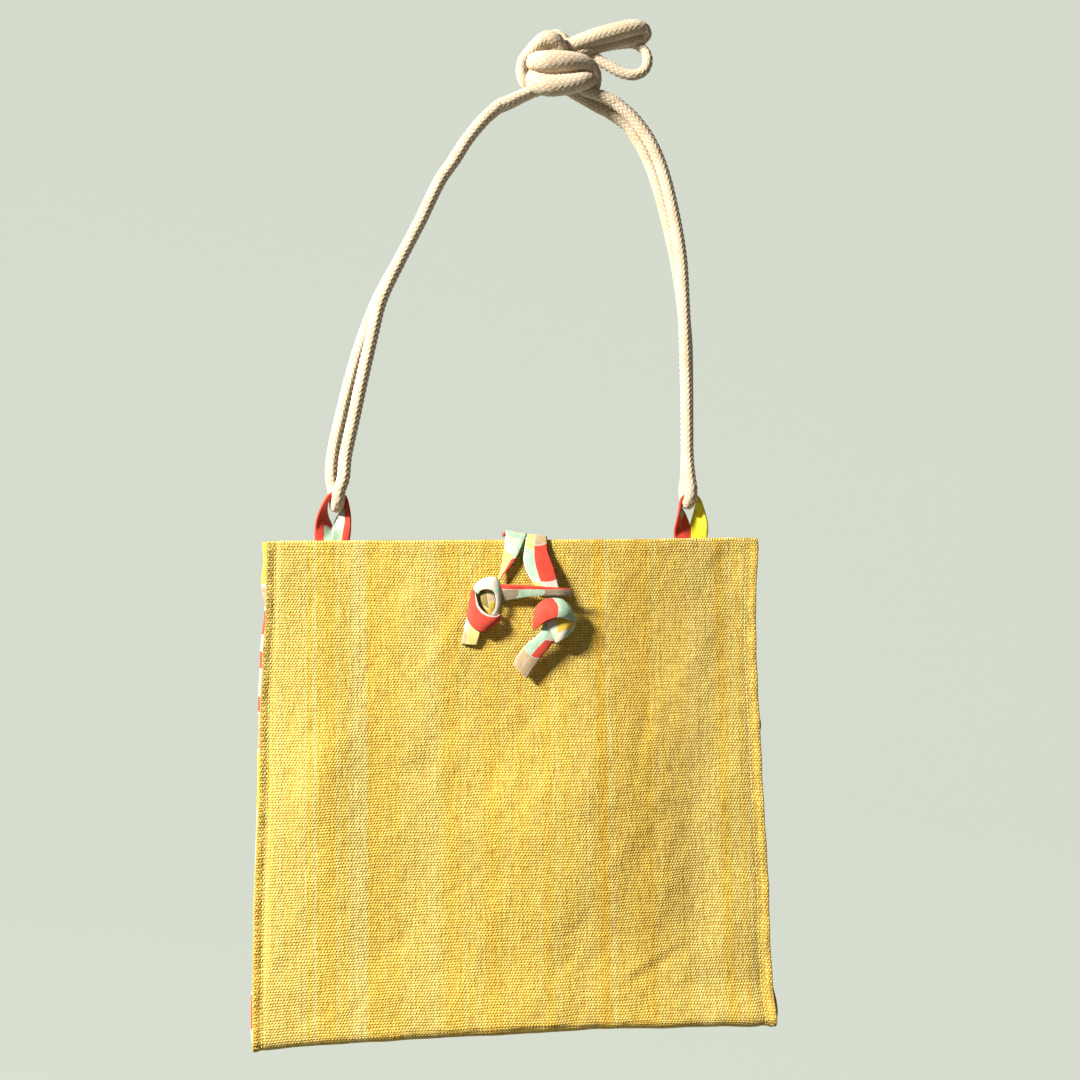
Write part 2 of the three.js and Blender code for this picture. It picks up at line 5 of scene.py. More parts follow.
import bpy
import numpy as np
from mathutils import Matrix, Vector


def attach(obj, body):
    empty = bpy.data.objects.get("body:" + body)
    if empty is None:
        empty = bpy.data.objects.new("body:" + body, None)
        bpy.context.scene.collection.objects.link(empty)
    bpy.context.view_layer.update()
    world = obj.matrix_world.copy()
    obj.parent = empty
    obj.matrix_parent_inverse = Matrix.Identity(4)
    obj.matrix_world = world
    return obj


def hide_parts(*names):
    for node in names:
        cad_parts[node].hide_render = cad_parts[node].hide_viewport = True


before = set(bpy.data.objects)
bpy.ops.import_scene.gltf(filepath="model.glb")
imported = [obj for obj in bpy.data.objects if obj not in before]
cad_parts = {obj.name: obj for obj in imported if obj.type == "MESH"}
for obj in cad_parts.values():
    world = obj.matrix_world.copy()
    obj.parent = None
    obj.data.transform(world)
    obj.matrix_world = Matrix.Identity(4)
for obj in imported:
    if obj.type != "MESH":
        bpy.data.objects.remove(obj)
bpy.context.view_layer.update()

scene = bpy.context.scene

# View. The bag hangs level with the camera, which stands a little to its left.
EYE = (-0.19156, -1.13584, -0.31747)
AIM = (-0.01166, 0.0, -0.31747)


def stood_up(name, data, place, aim):
    """A camera or a light at a place, facing aim."""
    holder = bpy.data.objects.new(name, data)
    holder.location = place
    holder.rotation_euler = (Vector(aim) - Vector(place)).to_track_quat("-Z", "Y").to_euler()
    scene.collection.objects.link(holder)
    return holder


camera = stood_up("camera", bpy.data.cameras.new("camera"), EYE, AIM)
camera.data.lens = 53.33
camera.data.sensor_width = 36
scene.camera = camera
scene.view_settings.view_transform = "Standard"


def put_mesh(name, finish, places, quads, uv, tone=None):
    """Object from places (n, 3), quads (m, 4) of their numbers and one uv for each quad corner (m, 4, 2).
    tone is one number for each place, kept as an attribute that the finish can read."""
    mesh = bpy.data.meshes.new(name)
    mesh.vertices.add(len(places))
    mesh.vertices.foreach_set("co", np.ascontiguousarray(places, np.float32).ravel())
    mesh.loops.add(quads.size)
    mesh.loops.foreach_set("vertex_index", np.ascontiguousarray(quads, np.int32).ravel())
    mesh.polygons.add(len(quads))
    mesh.polygons.foreach_set("loop_start", np.arange(0, quads.size, 4, dtype=np.int32))
    mesh.update(calc_edges=True)
    mesh.polygons.foreach_set("use_smooth", np.ones(len(quads), bool))
    layer = mesh.uv_layers.new(name="lay")
    layer.data.foreach_set("uv", np.ascontiguousarray(uv, np.float32).ravel())
    if tone is not None:
        mark = mesh.attributes.new("tone", "FLOAT", "POINT")
        mark.data.foreach_set("value", np.ascontiguousarray(tone, np.float32))
    mesh.materials.append(finish)
    mesh.validate()
    piece = bpy.data.objects.new(name, mesh)
    scene.collection.objects.link(piece)
    return piece


def new_finish(name):
    """An empty material: its node tree and its Principled shader."""
    finish = bpy.data.materials.new(name)
    finish.use_nodes = True
    tree = finish.node_tree
    return finish, tree, tree.nodes["Principled BSDF"]


class Wire:
    """One output of a shader node. A sum written with wires makes the node that works it out."""

    def __init__(self, tree, socket):
        self.tree = tree
        self.socket = socket

    def __add__(self, other):
        return calc("ADD", self, other)

    def __sub__(self, other):
        return calc("SUBTRACT", self, other)

    def __rsub__(self, other):
        return calc("SUBTRACT", other, self)

    def __mul__(self, other):
        return calc("MULTIPLY", self, other)

    def __truediv__(self, other):
        return calc("DIVIDE", self, other)

    def __gt__(self, other):
        return calc("GREATER_THAN", self, other)


def feed(tree, made, inputs):
    """Each socket of a node, by name or number, gets its value or the wire that feeds it."""
    for key, value in dict(inputs).items():
        if isinstance(value, Wire):
            tree.links.new(value.socket, made.inputs[key])
        else:
            made.inputs[key].default_value = value


def node(tree, kind, inputs=(), output=0, **settings):
    """Wire from one output of a new shader node."""
    made = tree.nodes.new(kind)
    for key, value in settings.items():
        setattr(made, key, value)
    feed(tree, made, inputs)
    return Wire(tree, made.outputs[output])


def calc(operation, a, b=0.0):
    """Wire of one sum on two wires or numbers."""
    tree = (a if isinstance(a, Wire) else b).tree
    return node(tree, "ShaderNodeMath", {0: a, 1: b}, operation=operation)


def parts_of(place):
    """Wires of a place's x, y and z."""
    apart = node(place.tree, "ShaderNodeSeparateXYZ", {0: place})
    return [Wire(place.tree, output) for output in apart.socket.node.outputs]


def noise(place, scale, detail):
    """Soft random value round 0.5 at a place: scale waves a metre, with detail rounds of finer ones."""
    return node(place.tree, "ShaderNodeTexNoise", {"Vector": place, "Scale": scale, "Detail": detail})


def blend_of(share, one, other, blend_type="MIX"):
    """Colour between one and other by share."""
    return node(one.tree, "ShaderNodeMix", {0: share, 6: one, 7: other}, 2, data_type="RGBA",
                blend_type=blend_type)


def tinted(colour, *tints):
    """A colour multiplied by each tint in turn."""
    for tint in tints:
        colour = blend_of(1.0, colour, tint, "MULTIPLY")
    return colour


def ramp_of(share, stops, interpolation="LINEAR"):
    """Colour by share through stops of (place, colour), or of (place, number) for a grey."""
    made = node(share.tree, "ShaderNodeValToRGB", {0: share})
    ramp = made.socket.node.color_ramp
    ramp.interpolation = interpolation
    while len(ramp.elements) < len(stops):
        ramp.elements.new(0.5)
    for band, (place, colour) in zip(ramp.elements, sorted(stops)):
        band.position = place
    for band, (place, colour) in zip(ramp.elements, sorted(stops)):
        band.color = (*colour, 1) if isinstance(colour, tuple) else (colour, colour, colour, 1)
    return made


def quad_corners(rows, cols):
    """Row and column of each quad's four corners, in a grid of rows times cols places."""
    row, col = np.meshgrid(np.arange(rows - 1), np.arange(cols - 1), indexing="ij")
    row, col = row.ravel(), col.ravel()
    return np.stack([row, row, row + 1, row + 1], 1), np.stack([col, col + 1, col + 1, col], 1)


# Floor and backdrop: one pale grey-green sweep of paper, far enough back to show no shadow.
SWEEP_FLOOR = -0.95
SWEEP_TOP = 3.5
SWEEP_NEAR = -4.0
SWEEP_BACK = 3.2
SWEEP_SIDE = 5.0
SWEEP_TURN = 0.8


def sweep_sheet():
    """Profile in y and z: level floor, a quarter circle, then an upright back, drawn along x."""
    turn = np.linspace(0, np.pi / 2, 20)
    y = np.concatenate([[SWEEP_NEAR], SWEEP_BACK - SWEEP_TURN + SWEEP_TURN * np.sin(turn), [SWEEP_BACK]])
    z = np.concatenate([[SWEEP_FLOOR], SWEEP_FLOOR + SWEEP_TURN * (1 - np.cos(turn)), [SWEEP_TOP]])
    x = np.array([-SWEEP_SIDE, SWEEP_SIDE])
    places = np.stack(np.broadcast_arrays(x[None], y[:, None], z[:, None]), -1).reshape(-1, 3)
    row, col = quad_corners(len(y), 2)
    quads = 2 * row + col
    uv = places[quads][..., :2]
    return places, quads, uv


paper, tree, shader = new_finish("paper")
x, y, z = parts_of(node(tree, "ShaderNodeTexCoord", output="Object"))
glow = ramp_of((y + 0.9) * 0.7, [(0.2, (0.16, 0.145, 0.12)), (0.95, (0.684, 0.728, 0.629))])
feed(tree, shader, {"Emission Color": glow, "Emission Strength": 0.955, "Roughness": 1,
                    "Base Color": (0.022, 0.024, 0.021, 1), "Specular IOR Level": 0})
sweep = put_mesh("sweep", paper, *sweep_sheet())

# Light: one warm key from high on the left, almost along the cloth, and pale light from all round.
world = bpy.data.worlds.new("room")
world.use_nodes = True
feed(world.node_tree, world.node_tree.nodes["Background"],
     {"Color": (1.0, 0.88, 0.72, 1), "Strength": 0.115})
scene.world = world


def soft_light(name, place, aim, size, watts, colour):
    """A square area light at a place, facing aim."""
    lamp = bpy.data.lights.new(name, "AREA")
    lamp.size = size
    lamp.energy = watts
    lamp.color = colour
    stood_up(name, lamp, place, aim)


soft_light("key", (-2.08, -1.12, 1.01), (-1.86, -1.05, -1.0), 0.52, 455, (1.0, 0.95, 0.86))
soft_light("front_fill", (0.5, -2.3, 0.3), (0, 0, -0.4), 1.6, 2.2, (1.0, 0.93, 0.84))

# Strap: a ring of soft 9 mm braided cotton rope on each side. Each runs down from the knot, turns
# under its tab from front to back, and runs up again, so two strands lie side by side.
ROPE = 0.009
PLAITS = 10
PLAIT_LENGTH = 0.0039
PLAIT_RISE = 0.00050
RING_STEP = 0.0006
ROPE_SIDES = 48
# the rings' legs, from the knot down to the tab, in tenths of a millimetre
LEFT_FRONT = [
    (-420, -50, -75), (-530, -55, -185), (-650, -60, -335), (-740, -60, -480), (-840, -60, -625),
    (-980, -65, -915), (-1125, -70, -1200), (-1260, -80, -1490), (-1330, -90, -1770), (-1395, -110, -2055),
    (-1455, -130, -2335), (-1512, -160, -2600), (-1528, -190, -2750), (-1556, -196, -2835),
]
LEFT_BACK = [
    (-420, 50, -70), (-530, 50, -170), (-645, 47, -315), (-740, 45, -465), (-835, 45, -610), (-975, 45, -900),
    (-1120, 45, -1180), (-1275, 45, -1470), (-1385, 45, -1755), (-1470, 40, -2040), (-1540, 35, -2325),
    (-1590, 25, -2560), (-1603, 14, -2720), (-1584, 12, -2835),
]
RIGHT_FRONT = [
    (420, -50, -15), (550, -50, -120), (660, -52, -255), (735, -55, -400), (790, -58, -555), (860, -65, -850),
    (905, -75, -1140), (920, -90, -1440), (930, -100, -1730), (935, -115, -2020), (935, -135, -2310),
    (932, -160, -2580), (940, -190, -2735), (950, -196, -2805),
]
RIGHT_BACK = [
    (390, 50, -60), (525, 48, -150), (625, 46, -280), (700, 45, -425), (755, 45, -570), (835, 45, -855),
    (900, 45, -1140), (945, 45, -1430), (975, 45, -1720), (980, 40, -2010), (980, 35, -2300),
    (975, 25, -2570), (967, 14, -2715), (955, 12, -2805),
]


def along_line(line):
    """Distance run along a line of places, from its first."""
    return np.concatenate([[0], np.cumsum(np.linalg.norm(np.diff(line, axis=0), axis=1))])


def at_stops(stops, run, line):
    """The line's values at each stop, straight between its places, which lie at run along it."""
    return np.stack([np.interp(stops, run, line[:, k]) for k in range(line.shape[1])], 1)


def unit(vectors):
    """The same directions, each of length 1."""
    return vectors / np.maximum(np.linalg.norm(vectors, axis=-1, keepdims=True), 1e-12)


def evenly(line, step):
    """The line again, with places about step apart along it."""
    run = along_line(line)
    stops = np.linspace(0, run[-1], max(4, int(round(run[-1] / step)) + 1))
    return at_stops(stops, run, line)


def smooth_line(points, step):
    """Centripetal Catmull-Rom curve: between two points a cubic whose slopes come from the neighbours,
    each gap weighed by the square root of its length; then places evenly step apart."""
    p = np.asarray(points, float)
    p = np.vstack([2 * p[0] - p[1], p, 2 * p[-1] - p[-2]])
    gap = np.sqrt(np.linalg.norm(np.diff(p, axis=0), axis=1))[:, None]
    d0, d1, d2 = gap[:-2], gap[1:-1], gap[2:]
    a, b, c, d = p[:-3], p[1:-2], p[2:-1], p[3:]
    m1 = ((b - a) / d0 - (c - a) / (d0 + d1) + (c - b) / d1) * d1
    m2 = ((c - b) / d1 - (d - b) / (d1 + d2) + (d - c) / d2) * d1
    t = np.linspace(0, 1, 40, endpoint=False)[:, None, None]
    line = b + t * m1 + t**2 * (-3 * b + 3 * c - 2 * m1 - m2) + t**3 * (2 * b - 2 * c + m1 + m2)
    line = np.vstack([line.transpose(1, 0, 2).reshape(-1, p.shape[1]), p[-2]])
    return evenly(line, step)


def ring_line(front, back):
    """A strap ring's middle line: down the front leg, a half circle under the tab, up the back leg."""
    front, back = np.array(front) / 10000, np.array(back) / 10000
    (x0, y0, z), (x1, y1, _) = front[-1], back[-1]
    reach = (y1 - y0) / 2
    turn = np.pi * np.array([0.2, 0.4, 0.5, 0.6, 0.8])
    under = np.stack([x0 + (x1 - x0) * turn / np.pi, y0 + reach - reach * np.cos(turn),
                      z - reach * np.sin(turn)], 1)
    return smooth_line([*front, *under, *back[::-1]], RING_STEP)


def carried_sides(line, start):
    """A side direction square to the line at each place, carried along from start without twist."""
    run = unit(np.gradient(line, axis=0))
    sides = np.empty_like(line)
    side = np.asarray(start, float)
    for k in range(len(line)):
        side = side - side.dot(run[k]) * run[k]
        side /= np.linalg.norm(side)
        sides[k] = side
    return run, sides


def braid_rise(angle, along, plaits=PLAITS):
    """Height of the plaits, 0 to 1. Two families of yarns wind round the rope in opposite ways. Where they
    cross, one lies on top for two crossings, and each swells like a cosine across and along itself."""
    s = plaits * angle / (2 * np.pi) + along / PLAIT_LENGTH
    t = plaits * angle / (2 * np.pi) - along / PLAIT_LENGTH
    i, j = np.floor(s + 1e-6), np.floor(t + 1e-6)
    q = np.mod(i + j, 4)
    first = q < 2
    across = np.where(first, s - i, t - j)
    lengthways = np.where(first, (q + t - j) / 2, (q - 2 + s - i) / 2)
    hump = np.cos(np.pi * np.clip(across - 0.5, -0.5, 0.5)) ** 0.8
    return hump * np.cos(np.pi * np.clip(lengthways - 0.5, -0.5, 0.5) * 0.86) ** 0.7


def braided_rope(line, start, begin=0.0, flow=1, radius=ROPE / 2):
    """Tube on the line: at each place a ring of radius plus the plaits' height, over ROPE_SIDES sides, and
    a flat end of quads. begin and flow carry the plaits on from another stretch of the same rope. A wide
    stretch has more plaits round it."""
    run, side = carried_sides(line, start)
    rise = np.cross(run * flow, side)
    angle = np.arange(ROPE_SIDES) * 2 * np.pi / ROPE_SIDES
    along = begin + flow * along_line(line)
    plaits = max(PLAITS, 2 * int(round(PLAITS * np.max(radius) / ROPE)))
    lift = braid_rise(angle[None, :], along[:, None], plaits)
    size = np.broadcast_to(radius, len(line))[:, None] - PLAIT_RISE + PLAIT_RISE * 1.35 * lift
    places = line[:, None] + size[..., None] * (
        np.cos(angle)[None, :, None] * side[:, None] + np.sin(angle)[None, :, None] * rise[:, None]
    )
    row, col = quad_corners(len(line), ROPE_SIDES + 1)
    k = np.arange(ROPE_SIDES // 2 - 1)
    cap = np.stack([k, ROPE_SIDES - 1 - k, ROPE_SIDES - 2 - k, k + 1], 1)
    caps = np.concatenate([cap, (len(line) - 1) * ROPE_SIDES + cap[:, ::-1]])
    quads = np.concatenate([row * ROPE_SIDES + col % ROPE_SIDES, caps])
    uv = np.stack([col * (np.pi * ROPE / ROPE_SIDES), along[row]], -1)
    uv = np.concatenate([uv, np.zeros((len(caps), 4, 2))])
    if flow < 0:
        quads, uv = quads[:, ::-1], uv[:, ::-1]
    return places.reshape(-1, 3), quads[:, ::-1], uv[:, ::-1], lift.ravel(), side[-1], along[-1]


rope_cotton, tree, shader = new_finish("rope cotton")
lift = node(tree, "ShaderNodeAttribute", output="Fac", attribute_name="tone")
place = node(tree, "ShaderNodeTexCoord", output="Object")
# The rope's colour by the plaits' height: cream on top, with painted shade, darker and browner, in the gaps
# between the plaits.
yarn_and_gap_shade = ramp_of(lift, [(0.0, (0.31, 0.22, 0.13)), (0.3, (0.48, 0.39, 0.27)), (0.62, (0.61, 0.52, 0.40)),
                      (1.0, (0.65, 0.57, 0.45))])
aged = ramp_of(noise(place, 90, 3), [(0.3, (0.88, 0.82, 0.74)), (0.6, (1.0, 1.0, 1.0))])
height = noise(place, 2200, 3) * 0.5 + lift * 0.6
bump = node(tree, "ShaderNodeBump", {"Strength": 0.7, "Distance": 0.0005, "Height": height})
feed(tree, shader, {"Base Color": tinted(yarn_and_gap_shade, aged), "Normal": bump, "Roughness": 0.95,
                    "Specular IOR Level": 0.15, "Sheen Weight": 0.25, "Sheen Roughness": 0.6,
                    "Sheen Tint": (1.0, 0.97, 0.9, 1)})

rings = {}
for side_name, front, back in (("left", LEFT_FRONT, LEFT_BACK), ("right", RIGHT_FRONT, RIGHT_BACK)):
    line = ring_line(front, back)
    *part, end_side, end_along = braided_rope(line, (0, -1, 0))
    ring = put_mesh("strap_rope_" + side_name, rope_cotton, *part)
    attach(ring, "root")
    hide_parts("strap_" + side_name)
    rings[side_name] = (ring, line, end_side, end_along)

# Strap knot: both rings are tied together in one overhand knot, and both bights stick out to the right.
# The strands that show are stretches of the same rope; their ends are tucked inside the knot.
# side, leg, the stretch from the leg's end into the knot: places and radius, in tenths of a millimetre
KNOT_LEGS = [
    ("left", "front", [(*LEFT_FRONT[0], 45), (-348, -50, -46, 45), (-284, -50, -12, 43), (-214, -45, 21, 41),
                       (-150, -30, 53, 38), (-80, 0, 104, 37)]),
    ("left", "back", [(*LEFT_BACK[0], 45), (-320, 50, -25, 44), (-247, 50, 14, 42), (-174, 50, 49, 40),
                      (-101, 50, 96, 40), (-28, 50, 157, 43)]),
    ("right", "front", [(*RIGHT_FRONT[0], 45), (349, -50, 14, 43), (277, -45, 37, 41), (207, -30, 58, 38),
                        (141, 10, 110, 38)]),
    ("right", "back", [(*RIGHT_BACK[0], 45), (318, 50, -31, 43), (244, 50, 6, 41), (170, 50, 43, 40),
                       (89, 50, 90, 41), (16, 50, 144, 44)]),
]
# the other strands: places and radius, in tenths of a millimetre
KNOT_LOOPS = [
    # round the left and over the top
    [(-126, 30, 46, 33), (-182, -10, 61, 38), (-228, -40, 97, 42), (-253, -50, 147, 43), (-257, -55, 202, 42),
     (-242, -60, 255, 42), (-200, -65, 303, 48), (-148, -68, 354, 56), (-98, -70, 392, 63),
     (-52, -70, 400, 67), (-8, -60, 384, 62), (26, -45, 345, 52), (48, -10, 305, 42)],
    # behind it at the top
    [(-41, 60, 456, 41), (8, 50, 477, 40), (54, 35, 453, 38), (82, 20, 402, 36), (99, 0, 343, 33)],
    # upper band across the front, down its right end
    [(-156, 30, 210, 43), (-187, -40, 224, 55), (-158, -90, 234, 69), (-99, -115, 230, 78),
     (-14, -125, 232, 78), (74, -120, 236, 73), (164, -105, 239, 61), (231, -85, 223, 50),
     (275, -65, 181, 42), (286, -45, 122, 37), (277, -10, 74, 33), (240, 30, 47, 32)],
    # lower band across the front
    [(-147, 40, 178, 43), (-184, -40, 138, 57), (-146, -95, 79, 72), (-70, -115, 60, 75), (16, -120, 67, 74),
     (104, -115, 85, 71), (179, -100, 109, 66), (236, -60, 133, 57), (262, 0, 159, 43), (251, 50, 188, 36)],
    # the strands inside
    [(-150, -10, 252, 60), (-84, -50, 165, 71), (28, -65, 152, 71), (131, -55, 167, 67), (213, -20, 186, 53)],
    [(-160, -35, 290, 45), (-95, -35, 322, 55), (-20, -35, 330, 58), (60, -20, 320, 52), (130, 10, 305, 48)],
    # upper bight
    [(-17, 30, 378, 43), (84, 0, 382, 52), (192, -20, 418, 60), (301, -30, 456, 64), (402, -35, 486, 65),
     (500, -35, 516, 63), (575, -30, 533, 58), (628, -15, 533, 52), (657, -5, 508, 46), (650, 10, 475, 41),
     (597, 25, 466, 41), (502, 25, 448, 42), (391, 20, 420, 42), (286, 10, 386, 42), (198, 0, 356, 42),
     (111, 10, 327, 40)],
    # lower bight
    [(176, 40, 359, 40), (257, 40, 337, 40), (329, 30, 298, 40), (408, 20, 254, 40), (495, 10, 211, 39),
     (574, 0, 199, 38), (641, 0, 229, 38), (673, 0, 289, 37), (671, 10, 352, 36), (638, 30, 407, 36),
     (585, 50, 441, 36), (484, 65, 441, 39), (372, 65, 418, 40), (260, 60, 383, 41), (177, 50, 351, 41)],
]


def knot_parts():
    """The tubes of the knot, one after another: the legs' ends carry on the rings' braid."""
    for side_name, leg, points in KNOT_LEGS:
        start, begin, flow = ((0, -1, 0), 0.0, -1) if leg == "front" else (*rings[side_name][2:], 1)
        line = smooth_line(np.array(points) / 10000, RING_STEP)
        yield braided_rope(line[:, :3], start, begin, flow, line[:, 3])[:4]
    for points in KNOT_LOOPS:
        line = smooth_line(np.array(points) / 10000, RING_STEP)
        yield braided_rope(line[:, :3], (0.3, -1, 0.2), radius=line[:, 3])[:4]


def joined(parts):
    """Several parts of places, quads, uv and tone as one, with their places' numbers run on."""
    places, quads, uv, tone = zip(*parts)
    first = np.cumsum([0] + [len(part) for part in places])
    quads = [part + n for part, n in zip(quads, first)]
    return tuple(np.concatenate(part) for part in (places, quads, uv, tone))


knot = put_mesh("strap_knot_rope", rope_cotton, *joined(knot_parts()))
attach(knot, "root")
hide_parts("strap_knot")
for side_name, (ring, line, end_side, end_along) in rings.items():
    float(along_line(line)[-1])

# Bag: one coarse handwoven cotton cloth, striped along its warp, makes the front, the base and the back.
# It folds round the base, is turned over at the mouth, and its sides are pinched into narrow seams.
MIDDLE_X = -0.032
RIM_Z = -0.317
MOUTH_WIDTH = 0.356
BASE_WIDTH = 0.363
BAG_HEIGHT = 0.340
MOUTH_DEPTH = 0.027
BASE_DEPTH = 0.070
BACK_LEAN = 0.007
BASE_FOLD = 0.007
CLOTH = 0.0022
HEM = 0.0030
HEM_HEIGHT = 0.0075
HEM_RISE = 0.0004
HEM_STITCH_UP = 0.0012
HEM_STITCH_SINK = 0.00015
# width of the seams beyond their stitching: as sewn, and as seen at the left and the right edge
FLANGE = 0.006
FLANGES = (0.0050, 0.0074)
SEAM_GROOVE = 0.0007
SEAM_PROUD = 0.0003
DENT = 0.0032
BASE_ARCH = 0.0015
# how much lower the base hangs all along, and more at its corners
BASE_SAG = 0.0024
CORNER_SAG = 0.0028
# drop below the rim as a share of the height, how far the width has gone from mouth to base
WIDTH_SHARES = [(0, 0), (0.25, -0.15), (0.5, 0.1), (0.72, 0.8), (0.9, 1), (1, 0.9)]
# drop, how far the left and the right side edge are pulled towards the right, in millimetres
EDGE_PULLS = [
    (0, 5.6, 2.1), (0.04, 5.3, 1.4), (0.12, 4.9, -0.7), (0.16, 4.5, -1), (0.22, 2.5, -1.4), (0.32, 1.2, -1.4),
    (0.42, 0.8, -0.7), (0.52, 0.8, -0.7), (0.62, 0.5, -0.7), (0.72, 0.3, -0.7), (0.82, 0.2, -1.4),
    (0.92, 0.1, -0.7), (1, 0, 0),
]
# how much lower the rim hangs at its left and right end, and over which share of the height that goes
RIM_SAGS = (0.0025, 0.0008)
RIM_SAG_FADE = 0.6
# slope of the front's right third, which turns away from the light: between these shares of half the width
PANEL_SLOPE = 0.085
PANEL_TURN = (0.30, 0.52, 0.84, 0.95)
# soft dents of the front and back: across (share of half the width), down, wide, high (shares), depth, slant
DENTS = [
    (-0.55, 0.2, 0.3, 0.16, 0.8, 0.3), (-0.1, 0.42, 0.35, 0.12, 0.7, -0.4),
    (0.45, 0.24, 0.34, 0.14, 0.9, 0.5), (0.62, 0.66, 0.26, 0.18, 0.8, -0.3),
    (-0.42, 0.72, 0.32, 0.13, 0.8, 0.4), (0.08, 0.85, 0.4, 0.08, 0.6, 0),
    (-0.75, 0.5, 0.14, 0.24, -0.7, 0), (0.2, 0.6, 0.26, 0.16, -0.9, 0.2),
    (-0.2, 0.12, 0.3, 0.08, -0.5, 0),
]
# creases of the front, in millimetres: from (across, down) to (across, down), counted from the rim's
# middle, how wide each is, and its rise
CREASES = [
    (96, 112, 83, 168, 4.2, -0.5), (128, 120, 112, 164, 4, -0.45), (105, 118, 98, 150, 4, 0.35),
    (165, 15, 128, 200, 15, -0.9), (128, 185, 127, 310, 13, -1), (90, 180, 100, 215, 4.5, -0.3),
    (108, 200, 102, 245, 5, 0.3), (56, 186, 160, 180, 2.2, 0.22), (-92, 163, -58, 157, 7, -0.5),
    (-60, 252, -28, 228, 3, -0.35), (-110, 290, -60, 256, 6, -0.3), (-71, 96, -36, 50, 5.5, 0.35),
    (-118, 60, -85, 30, 7, -0.25), (30, 275, 48, 262, 4, -0.35), (70, 310, 116, 287, 4.2, -0.7),
    (78, 300, 112, 283, 4, 0.4), (20, 300, 40, 288, 4, -0.3), (124, 318, 140, 332, 2.6, 0.6),
    (100, 330, 140, 327, 3, -0.4), (-150, 330, -125, 318, 3, 0.45), (-120, 326, -105, 306, 3, -0.3),
    (-20, 225, 30, 190, 6, 0.25), (-140, 200, -120, 160, 6, -0.25), (0, 150, 40, 110, 6, 0.25),
    (150, 10, 166, 30, 6, -0.5),
]


def drop_curve(table, drop, column=1):
    """Value at each drop, straight between the rows of a table."""
    return np.interp(drop, [row[0] for row in table], [row[column] for row in table])


def half_width(drop):
    """Half the bag's width at a drop, from the mouth's to the base's by WIDTH_SHARES."""
    return (MOUTH_WIDTH + (BASE_WIDTH - MOUTH_WIDTH) * drop_curve(WIDTH_SHARES, drop)) / 2


def edge_pull(drop, side):
    """How far a side edge is pulled towards the right at a drop. side is -1 for left, 1 for right."""
    return drop_curve(EDGE_PULLS, drop, 1 if side < 0 else 2) / 1000


def front_y(drop):
    """The front's outer side: straight from the mouth out to the base."""
    return -MOUTH_DEPTH / 2 + (MOUTH_DEPTH + BACK_LEAN - BASE_DEPTH) * drop


def back_y(drop):
    """The back's outer side, which leans a little."""
    return MOUTH_DEPTH / 2 + BACK_LEAN * drop


def cloth_path(backs, fronts, folds, bases):
    """The way of the cloth from the back rim under the bag to the front rim: y, z and outward direction,
    the drop, and the distance run. Straight walls, two quarter circles and a level base. The numbers are
    how many rows the back, the front, each fold and the base have."""
    fold_drop = 1 - BASE_FOLD / BAG_HEIGHT
    drop, front_drop = fold_drop * np.linspace(0, 1, backs), fold_drop * np.linspace(1, 0, fronts)
    lean = np.arctan2(front_y(0) - front_y(1), BAG_HEIGHT)
    turn = np.linspace(0, np.pi / 2, folds + 1)[1:]
    back_mid, front_mid = back_y(fold_drop) - BASE_FOLD, front_y(fold_drop) + BASE_FOLD
    fold_z = -BAG_HEIGHT + BASE_FOLD
    base = np.linspace(back_mid, front_mid, bases + 1)[1:-1]
    low, high = np.cos(turn), np.sin(turn)
    stretches = [
        (back_y(drop), -drop * BAG_HEIGHT, 1, 0),
        (back_mid + BASE_FOLD * low, fold_z - BASE_FOLD * high, low, -high),
        (base, -BAG_HEIGHT, 0, -1),
        (front_mid - BASE_FOLD * low[::-1], fold_z - BASE_FOLD * high[::-1], -low[::-1], -high[::-1]),
        (front_y(front_drop), -front_drop * BAG_HEIGHT, -np.cos(lean), -np.sin(lean)),
    ]
    y, z, out_y, out_z = np.concatenate([np.broadcast_arrays(*stretch) for stretch in stretches], 1)
    down = np.clip(-z / BAG_HEIGHT, 0, 1)
    down[backs:-fronts] = 1
    return y, z, out_y, out_z, down, along_line(np.stack([y, z], 1))


def smooth_step(low, high, value):
    """0 below low, 1 above high, and a soft S between."""
    t = np.clip((value - low) / (high - low), 0, 1)
    return t * t * (3 - 2 * t)


def soft_random(shape, spread, seed, slant=0.0):
    """Random heights on a grid, blurred by spread (rows, columns) turned by slant radians, and scaled to a
    standard deviation of 1."""
    rough = np.random.default_rng(seed).standard_normal(shape)
    rows, cols = np.fft.fftfreq(shape[0])[:, None], np.fft.fftfreq(shape[1])[None, :]
    along = rows * np.cos(slant) + cols * np.sin(slant)
    across = cols * np.cos(slant) - rows * np.sin(slant)
    blur = np.exp(-2 * np.pi**2 * ((along * spread[0]) ** 2 + (across * spread[1]) ** 2))
    soft_heights = np.real(np.fft.ifft2(np.fft.fft2(rough) * blur))
    return soft_heights / soft_heights.std()


def dent_depth(across, drop):
    """Sum of the dents: each falls off as a bell both ways, its middle slanted across."""
    depth = np.zeros(np.broadcast(across, drop).shape)
    for u, v, wide, high, share, slant in DENTS:
        a = (across - u) / wide
        b = (drop - v - slant * (across - u) * 0.3) / high
        depth += share * np.exp(-a * a - b * b)
    return DENT * depth


def crease_rise(x, down):
    """Sum of the creases: each is a ridge about a straight line, a bell across and soft at its ends."""
    rise = np.zeros(x.shape)
    for x0, d0, x1, d1, wide, height in np.array(CREASES) / 1000:
        run = np.array([x1 - x0, d1 - d0])
        length = np.linalg.norm(run)
        run = run / length
        t = (x - x0) * run[0] + (down - d0) * run[1]
        s = (x - x0) * run[1] - (down - d0) * run[0] + 0.08 * wide * np.sin(t / 0.004)
        ends = smooth_step(-0.3, 0.25, t / length) * (1 - smooth_step(0.75, 1.3, t / length))
        rise += height * np.exp(-((s / wide) ** 2)) * ends
    return rise


